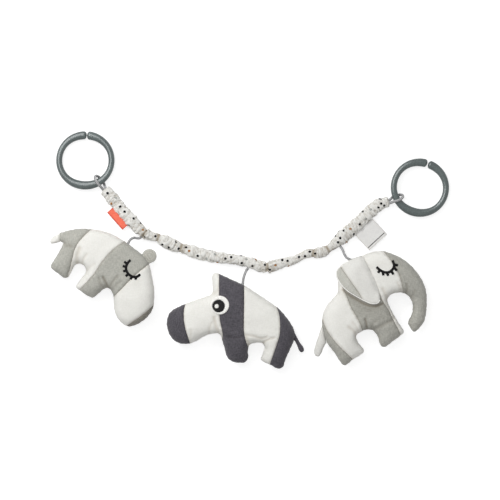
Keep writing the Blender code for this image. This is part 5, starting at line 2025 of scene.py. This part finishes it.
BAND = Band(
    route_px=(
        (104.4, 188.9), (109.8, 195.6), (113.2, 199.6), (117.6, 204.8), (124.6, 213.2), (132.0, 221.3),
        (139.2, 228.9), (145.6, 233.8), (152.0, 236.2), (158.0, 237.8), (163.4, 240.6), (172.0, 244.8),
        (182.0, 247.9), (190.0, 250.8), (197.0, 253.0), (214.5, 257.0), (232.7, 259.3), (250.9, 263.0),
        (261.0, 266.4), (268.0, 267.4), (274.0, 265.8), (282.0, 263.0), (293.3, 260.4), (300.0, 257.0),
        (309.1, 253.2), (317.6, 253.2), (323.6, 251.5), (329.7, 248.0), (335.8, 243.0), (341.4, 238.3),
        (348.8, 231.6), (356.2, 224.8), (363.6, 218.1), (370.9, 211.2), (377.4, 205.8), (384.0, 202.8),
        (389.4, 201.6),
    ),
    width_shares=(
        0.8, 0.92, 1.0, 0.86, 0.91, 0.95, 0.86, 0.94, 0.7, 0.68, 0.92, 0.98, 0.78, 0.9, 0.92, 0.85, 0.77, 0.8,
        0.86, 0.94, 0.9, 0.74, 0.68, 0.57, 0.68, 0.84, 0.86, 0.64, 0.79, 1.0, 1.02, 0.98, 0.95, 1.0, 0.97,
        0.82, 0.72,
    ),
    folds_px=((158.0, 237.8), (267.0, 267.3), (329.7, 248.0)),
    pinches_px=(
        (143.4, 234.0), (157.7, 239.0), (181.0, 248.5), (267.3, 266.7), (313.3, 253.3), (328.5, 249.7),
    ),
    dots_px={
        "black": (
            (107.7, 193.4), (120.0, 206.4), (124.9, 212.1), (133.2, 218.1), (141.2, 223.2), (128.7, 225.6),
            (143.4, 237.3), (155.0, 236.2), (162.6, 244.6), (169.1, 247.5), (176.6, 241.8), (178.8, 248.7),
            (185.8, 246.7), (197.9, 255.8), (209.7, 250.5), (224.6, 258.5), (231.0, 257.3), (241.0, 255.8),
            (241.8, 263.0), (252.7, 266.1), (265.2, 264.8), (269.9, 270.1), (282.1, 260.0), (288.1, 260.8),
            (298.8, 257.2), (305.5, 256.1), (309.5, 251.5), (314.8, 253.6), (335.3, 235.5), (340.1, 238.2),
            (337.8, 242.5), (343.9, 230.6), (353.6, 234.2), (360.0, 224.0), (363.0, 211.6), (378.3, 207.6),
            (381.5, 203.3), (380.2, 199.0), (384.5, 205.5),
        ),
        "tan": (
            (111.5, 204.0), (143.0, 229.5), (189.1, 250.9), (217.0, 262.8), (256.1, 259.8), (275.8, 265.1),
            (288.5, 266.3), (350.4, 229.0), (346.3, 242.4),
        ),
        "grey": (
            (115.5, 197.3), (205.5, 258.2), (214.5, 254.2), (245.5, 259.0), (370.5, 209.5), (366.0, 218.7),
            (339.0, 231.2),
        ),
    },
)
LEFT_LOOP = EndLoop(
    "cord_loop_left",
    "band_left",
    (
        (-154.75, 63.79, 5.68), (-158.85, 68.55, 11.88), (-161.35, 71.6, 12.67), (-162.97, 74.88, 11.43),
        (-163.2, 77.15, 9.08), (-162.5, 78.16, 6.68), (-161.14, 78.18, 4.36), (-158.98, 76.88, 2.27),
        (-156.48, 74.04, 1.49), (-154.1, 70.4, 2.73), (-152.33, 65.74, 5.68),
    ),
)
RIGHT_LOOP = EndLoop(
    "cord_loop_right",
    "band_far_right",
    (
        (148.26, 49.66, 5.68), (153.67, 51.52, 11.88), (157.48, 52.64, 12.67), (160.59, 54.59, 11.43),
        (161.97, 56.39, 9.08), (161.91, 57.62, 6.68), (160.75, 58.35, 4.36), (158.24, 58.38, 2.27),
        (154.62, 57.26, 1.49), (151.0, 55.8, 2.73), (147.63, 52.7, 5.68),
    ),
    at_start=False,
)
HIPPO_TETHER = Tether(
    "hanging_cord_hippo",
    "band_left",
    (
        (-116.0, 12.62, 5.68), (-121.88, 12.88, 8.09), (-124.84, 11.83, 12.58), (-126.95, 9.51, 15.0),
        (-128.22, 6.97, 15.0),
    ),
)
ZEBRA_TETHER = Tether(
    "hanging_cord_zebra",
    "band_centre",
    (
        (-1.82, -19.31, 5.68), (-3.38, -21.55, 8.22), (-5.28, -25.98, 12.95), (-6.65, -30.84, 15.5),
        (-7.18, -35.7, 15.5),
    ),
)
ELEPHANT_TETHER = Tether(
    "hanging_cord_elephant",
    "band_far_right",
    (
        (96.28, 3.48, 5.68), (98.54, -0.21, 8.22), (99.91, -4.22, 12.95), (102.23, -7.82, 15.5),
        (105.61, -9.93, 15.5),
    ),
)
RINGS = (
    ClipRing("left", (-173.63, 94.74, 5.46), (-0.0342, 0.051, 0.9981), (1.4, -24.6), gap=0.45 * MM),
    ClipRing("right", (180.07, 65.9, 5.46), (0.0558, 0.0255, 0.9981), (7.6, -23.1)),
)
LABELS = (
    FoldedLabel("side_label", ((111.8, 208.4), (127.0, 225.5)), 24.4 * MM, 6.2 * MM, CORAL, edge_shade=0.9),
    CareLabel("care_label", ((355.6, 235.6), (373.5, 219.1)), 25.6 * MM, 21.6 * MM, SATIN),
)
HIPPO = StuffedAnimal(
    name="hippo",
    length=109 * MM,
    thickness=31 * MM,
    body_px=(
        (59.8, 233.4), (64.8, 231.4), (72.0, 229.6), (81.8, 228.4), (94.3, 229.2), (104.0, 231.0),
        (113.0, 234.2), (121.0, 238.6), (128.2, 243.4), (135.0, 248.6), (142.6, 254.6), (148.2, 261.4),
        (150.6, 268.0), (152.6, 277.9), (154.4, 288.6), (154.4, 299.3), (153.0, 308.4), (148.2, 316.0),
        (141.6, 321.6), (134.5, 325.2), (128.0, 326.0), (122.2, 322.8), (117.0, 316.5), (114.4, 308.2),
        (114.0, 299.0), (112.6, 292.4), (108.4, 287.6), (104.0, 288.8), (98.6, 293.4), (93.0, 297.4),
        (86.4, 294.6), (80.0, 290.0), (76.2, 287.0), (80.4, 279.6), (86.4, 271.0), (84.6, 266.0),
        (79.4, 263.2), (75.0, 265.4), (71.6, 271.8), (68.4, 277.0), (65.0, 277.8), (58.4, 273.2),
        (51.8, 268.2), (51.2, 265.4), (55.9, 257.3), (60.8, 249.0), (63.6, 242.6), (60.4, 240.8),
    ),
    seams_px=(
        (
            (95.0, 226.0), (86.8, 233.6), (79.8, 241.2), (75.6, 248.8), (73.2, 257.6), (70.8, 267.2),
            (66.6, 280.6),
        ),
        ((127.6, 239.4), (114.0, 249.4), (104.2, 260.0), (94.6, 274.0), (86.6, 282.8), (77.0, 292.8)),
        ((153.0, 261.0), (140.8, 270.6), (130.0, 280.4), (121.8, 288.8), (110.6, 299.6)),
        ((156.6, 301.8), (149.4, 309.0), (141.2, 315.8), (133.0, 321.2), (124.6, 327.2)),
    ),
    patches=(("rump", GREY), ("belly", CREAM), ("shoulder", GREY), ("muzzle", CREAM), ("nose", NOSE)),
    folds=(
        Fold(((108.4, 287.6), (106.6, 282.4), (103.6, 276.6)), 1.5),
        Fold(((109.4, 288.4), (113.0, 282.0), (118.4, 275.4)), 0.9),
        Fold(((111.4, 291.0), (116.0, 285.4), (121.6, 280.6)), 0.6),
        Fold(((105.6, 288.4), (101.4, 283.6), (99.2, 277.6)), 0.7),
        Fold(((78.4, 265.2), (77.6, 257.0), (80.0, 248.0)), 1.2, 2.4, 0.5),
        Fold(((82.4, 266.6), (83.6, 260.0), (87.6, 253.6)), 0.7),
        Fold(((86.6, 271.4), (90.4, 266.6), (95.4, 263.6)), 0.5),
        Fold(((64.0, 243.0), (68.0, 245.2), (72.0, 246.0)), 0.8, 2.0),
    ),
    hung_px=((129.4, 241.0), (128.2, 243.4)),
    paired=(
        SleepingEye(
            lid_px=(
                (130.6, 260.2), (128.3, 262.6), (126.8, 266.3), (127.0, 270.2), (129.1, 273.6),
                (132.2, 275.9), (135.6, 276.7), (138.3, 275.9), (140.2, 274.4),
            ),
            lashes_px=(
                ((127.6, 263.4), (125.4, 261.6)),
                ((126.8, 266.6), (124.0, 265.9)),
                ((127.2, 270.2), (124.4, 270.8)),
                ((129.0, 273.4), (126.9, 275.5)),
                ((132.6, 276.0), (131.4, 278.4)),
                ((135.8, 276.6), (136.4, 278.6)),
            ),
            press_radius=11 * MM,
        ),
    ),
    flaps=(
        SoftFlap(
            "hippo_tail",
            (
                (59.4, 233.4), (55.0, 235.6), (51.6, 238.4), (50.4, 241.2), (51.4, 243.2), (54.6, 243.2),
                (60.0, 241.6),
            ),
            10.6 * MM, 7 * MM, CREAM,
        ),
        SoftFlap(
            "hippo_ear",
            (
                (142.4, 253.8), (144.6, 250.6), (148.4, 248.8), (152.4, 249.2), (155.8, 252.0),
                (156.8, 256.4), (155.0, 260.6), (149.6, 263.4),
            ),
            12.5 * MM,
            5 * MM,
            EAR_GREY,
            quilting=(2.3 * MM, 4.5 * MM),
        ),
    ),
)
ZEBRA = StuffedAnimal(
    name="zebra",
    length=135.2 * MM,
    thickness=32 * MM,
    body_px=(
        (167.0, 320.0), (168.0, 330.0), (172.2, 338.0), (178.8, 342.6), (189.0, 343.4), (197.0, 340.4),
        (205.0, 335.6), (213.0, 333.2), (219.8, 333.8), (222.2, 340.0), (224.8, 348.6), (227.0, 356.4),
        (231.6, 360.8), (238.6, 362.4), (245.2, 361.8), (248.2, 357.4), (248.0, 350.2), (249.6, 344.6),
        (256.0, 342.4), (262.6, 343.0), (264.6, 347.0), (262.6, 353.4), (260.8, 358.4), (263.4, 361.4),
        (270.0, 364.2), (278.6, 368.4), (283.0, 366.4), (285.4, 359.4), (289.4, 350.4), (293.0, 342.4),
        (295.0, 336.0), (294.0, 329.4), (290.2, 322.2), (285.2, 315.4), (278.0, 307.6), (265.6, 298.8),
        (254.4, 291.4), (242.8, 284.2), (232.4, 279.6), (221.6, 274.6), (215.6, 272.4), (212.6, 274.6),
        (212.6, 284.6), (212.2, 293.0), (205.0, 296.6), (196.0, 299.6), (187.0, 303.0), (177.6, 307.0),
        (170.6, 311.6),
    ),
    seams_px=(
        ((188.0, 298.0), (184.6, 307.0), (184.0, 316.0), (185.2, 326.0), (188.0, 336.0), (191.6, 347.0)),
        (
            (219.2, 268.0), (219.2, 284.0), (219.2, 304.0), (220.2, 320.0), (222.4, 331.0), (222.6, 338.0),
            (218.0, 346.0),
        ),
        (
            (244.2, 280.0), (244.2, 300.0), (244.0, 318.0), (244.2, 332.0), (246.2, 341.0), (249.4, 349.0),
            (253.0, 360.0),
        ),
        ((275.0, 303.0), (278.6, 312.0), (280.0, 322.0), (279.6, 334.0), (275.6, 347.0), (268.4, 368.0)),
    ),
    patches=(("nose", CHARCOAL), ("face", CREAM), ("neck", CHARCOAL), ("belly", CREAM), ("rump", CHARCOAL)),
    folds=(
        Fold(((244.6, 334.0), (254.0, 335.6), (262.0, 337.8), (267.0, 336.4)), 1.2, 1.2, 0.45),
        Fold(((262.8, 342.6), (267.4, 339.4), (274.6, 337.0)), 1.2, 1.0, 0.55),
        Fold(((249.0, 344.0), (247.4, 339.6), (246.4, 335.6)), 0.9, 1.6, 0.5),
        Fold(((219.4, 332.6), (216.0, 325.4), (214.4, 317.0)), 1.0, 1.8),
        Fold(((209.0, 333.6), (210.0, 327.0), (212.6, 321.6)), 0.6),
        Fold(((228.0, 336.0), (236.0, 337.0), (243.0, 335.4)), 0.7, 1.6),
        Fold(((188.0, 341.6), (190.6, 336.0), (191.0, 329.6)), 0.5),
        Fold(((214.0, 293.4), (217.4, 290.6), (218.6, 286.0)), 0.7, 1.8),
    ),
    hung_px=((243.3, 279.2), (242.8, 283.8)),
    paired=(FeltEye(),),
    flaps=(
        SoftFlap(
            "zebra_tail",
            (
                (293.8, 330.4), (296.6, 336.0), (299.8, 342.0), (303.4, 347.0), (304.0, 350.4),
                (301.8, 352.2), (299.2, 350.4), (297.2, 345.4), (294.6, 340.2),
            ),
            19.4 * MM, 3.6 * MM, CHARCOAL,
        ),
    ),
)
ELEPHANT = StuffedAnimal(
    name="elephant",
    length=110.7 * MM,
    thickness=32 * MM,
    body_px=(
        (349.6, 259.4), (355.2, 257.4), (361.8, 255.4), (370.6, 252.2), (382.0, 250.8), (392.0, 253.8),
        (400.8, 257.8), (409.2, 264.0), (416.8, 272.4), (422.6, 281.8), (425.8, 291.4), (426.4, 302.0),
        (425.8, 312.0), (423.6, 321.4), (419.6, 327.0), (414.0, 331.6), (409.8, 327.6), (407.6, 321.4),
        (410.8, 315.4), (412.4, 307.6), (411.2, 300.6), (407.2, 295.0), (402.0, 292.6), (395.0, 292.8),
        (389.4, 295.2), (387.0, 300.0), (389.4, 306.6), (394.2, 315.8), (399.4, 324.4), (403.6, 331.6),
        (400.4, 335.2), (392.0, 341.4), (384.0, 346.8), (380.0, 344.8), (377.8, 337.4), (373.4, 330.8),
        (368.6, 329.2), (362.0, 330.8), (355.8, 335.6), (358.0, 342.4), (363.8, 350.4), (361.6, 353.6),
        (352.4, 359.4), (344.4, 365.2), (340.4, 362.2), (334.8, 353.4), (327.4, 343.6), (323.4, 334.0),
        (321.6, 324.0), (322.6, 314.0), (326.0, 306.0), (332.0, 298.8), (337.6, 291.4), (337.4, 284.0),
        (338.4, 276.0), (341.2, 268.6), (345.0, 263.0),
    ),
    seams_px=(
        ((318.0, 311.0), (322.4, 320.0), (326.6, 330.0), (335.6, 342.4), (356.0, 362.4)),
        (
            (337.0, 274.0), (343.4, 290.4), (346.8, 298.0), (350.4, 307.0), (355.0, 315.0), (358.8, 322.0),
            (361.6, 330.0), (362.6, 336.0),
        ),
        (
            (358.4, 250.0), (365.6, 263.4), (371.9, 277.5), (376.6, 288.8), (380.8, 298.6), (384.6, 304.6),
            (388.6, 310.6), (392.8, 319.6), (397.4, 328.4), (402.0, 338.0),
        ),
        ((378.0, 246.0), (388.0, 257.4), (395.2, 268.0), (399.8, 279.0), (402.2, 290.0), (403.4, 302.0)),
    ),
    patches=(("rump", ASH), ("belly", CREAM), ("shoulder", ASH), ("face", CREAM), ("trunk", ASH)),
    folds=(
        Fold(
            ((394.4, 314.6), (391.4, 319.6), (384.6, 323.3), (378.0, 326.8), (372.1, 328.7)), 1.3, 2.3, 0.34,
        ),
        Fold(((364.6, 318.6), (366.0, 325.0), (366.8, 330.0)), 1.8, 1.2, 0.8),
        Fold(((370.4, 330.0), (371.4, 324.6), (376.0, 320.0)), 0.7),
        Fold(((356.0, 336.0), (353.6, 331.0), (348.0, 326.6)), 0.9, 1.6),
        Fold(((358.6, 333.4), (356.4, 327.6), (352.0, 322.0)), 0.6),
        Fold(((400.4, 292.8), (399.6, 288.0), (397.0, 282.6)), 0.8),
        Fold(((405.0, 293.8), (406.4, 289.0), (406.0, 283.4)), 0.9),
        Fold(((409.4, 298.0), (412.6, 294.6), (414.0, 290.4)), 0.6),
        Fold(((387.4, 301.4), (385.0, 294.6), (382.0, 288.6)), 0.9, 1.6),
        # The next three folds paint the ear's shadow on the body: a dark line under its free edge, a broad
        # shade on the shoulder and a soft shade below the ear.
        Fold(
            ((342.0, 289.4), (348.4, 294.6), (357.0, 300.0), (366.0, 304.6), (374.4, 306.0), (381.6, 303.4)),
            0.5, 1.5, 0.95,
        ),
        Fold(((360.0, 309.0), (372.0, 315.0), (386.0, 316.0)), 0.0, 8, 0.13),
        Fold(((342.0, 292.0), (356.0, 302.6), (370.0, 308.6), (382.0, 306.6)), 0.2, 4.5, 0.22),
    ),
    hung_px=((346.4, 257.4), (349.6, 259.4)),
    paired=(
        SleepingEye(
            lid_px=(
                (376.3, 267.2), (379.6, 270.1), (384.6, 272.2), (388.3, 271.8), (390.8, 270.1),
                (392.9, 267.2), (393.3, 264.3), (392.1, 260.9),
            ),
            lashes_px=(
                ((379.2, 269.8), (377.7, 272.0)),
                ((382.0, 271.3), (382.5, 274.4)),
                ((386.2, 272.2), (387.1, 274.9)),
                ((390.2, 270.8), (392.3, 273.5)),
                ((393.0, 267.0), (395.5, 269.8)),
                ((393.3, 264.2), (396.4, 265.0)),
            ),
            press_radius=12 * MM,
        ),
        SoftEar(
            drawing_px=(
                (362.4, 256.4), (355.6, 257.4), (348.4, 260.4), (341.4, 265.0), (336.6, 270.4),
                (336.2, 275.8), (340.2, 283.6), (347.0, 290.6), (356.0, 296.2), (364.0, 300.6),
                (371.0, 303.2), (376.6, 302.8), (379.2, 299.6), (377.8, 289.6), (374.0, 279.6),
                (368.8, 268.8), (364.8, 261.0),
            ),
            seam_px=(
                (334.0, 259.6), (340.6, 267.2), (344.6, 273.2), (348.6, 278.8), (352.8, 284.8),
                (357.0, 290.8), (361.0, 297.4), (364.6, 305.0),
            ),
        ),
    ),
    flaps=(
        SoftFlap(
            "elephant_tail",
            (
                (321.4, 325.6), (318.8, 333.6), (315.8, 342.6), (313.8, 350.4), (314.8, 355.0),
                (318.0, 356.4), (320.8, 353.4), (322.8, 348.4), (325.4, 343.2),
            ),
            23.9 * MM, 7 * MM, PALE,
        ),
    ),
)


def main() -> None:
    """Builds the studio and every sub-assembly in order."""
    logging.basicConfig(level=logging.INFO, format="%(name)s %(message)s")
    studio = Studio()
    studio.build()
    for cord in (LEFT_LOOP, RIGHT_LOOP, HIPPO_TETHER, ZEBRA_TETHER, ELEPHANT_TETHER):
        cord.build(BAND)
    BAND.build()
    for ring in RINGS:
        ring.build()
    for label in LABELS:
        label.build(BAND)
    for animal in (HIPPO, ZEBRA, ELEPHANT):
        animal.build(BAND.plan)
    for body in RIDERS:
        studio.keep_under(body)
    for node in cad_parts.values():
        if node.name.startswith("band_elastic"):
            node.data.materials.clear()
            dress(node, ELASTIC)


if __name__ == "__main__":
    main()
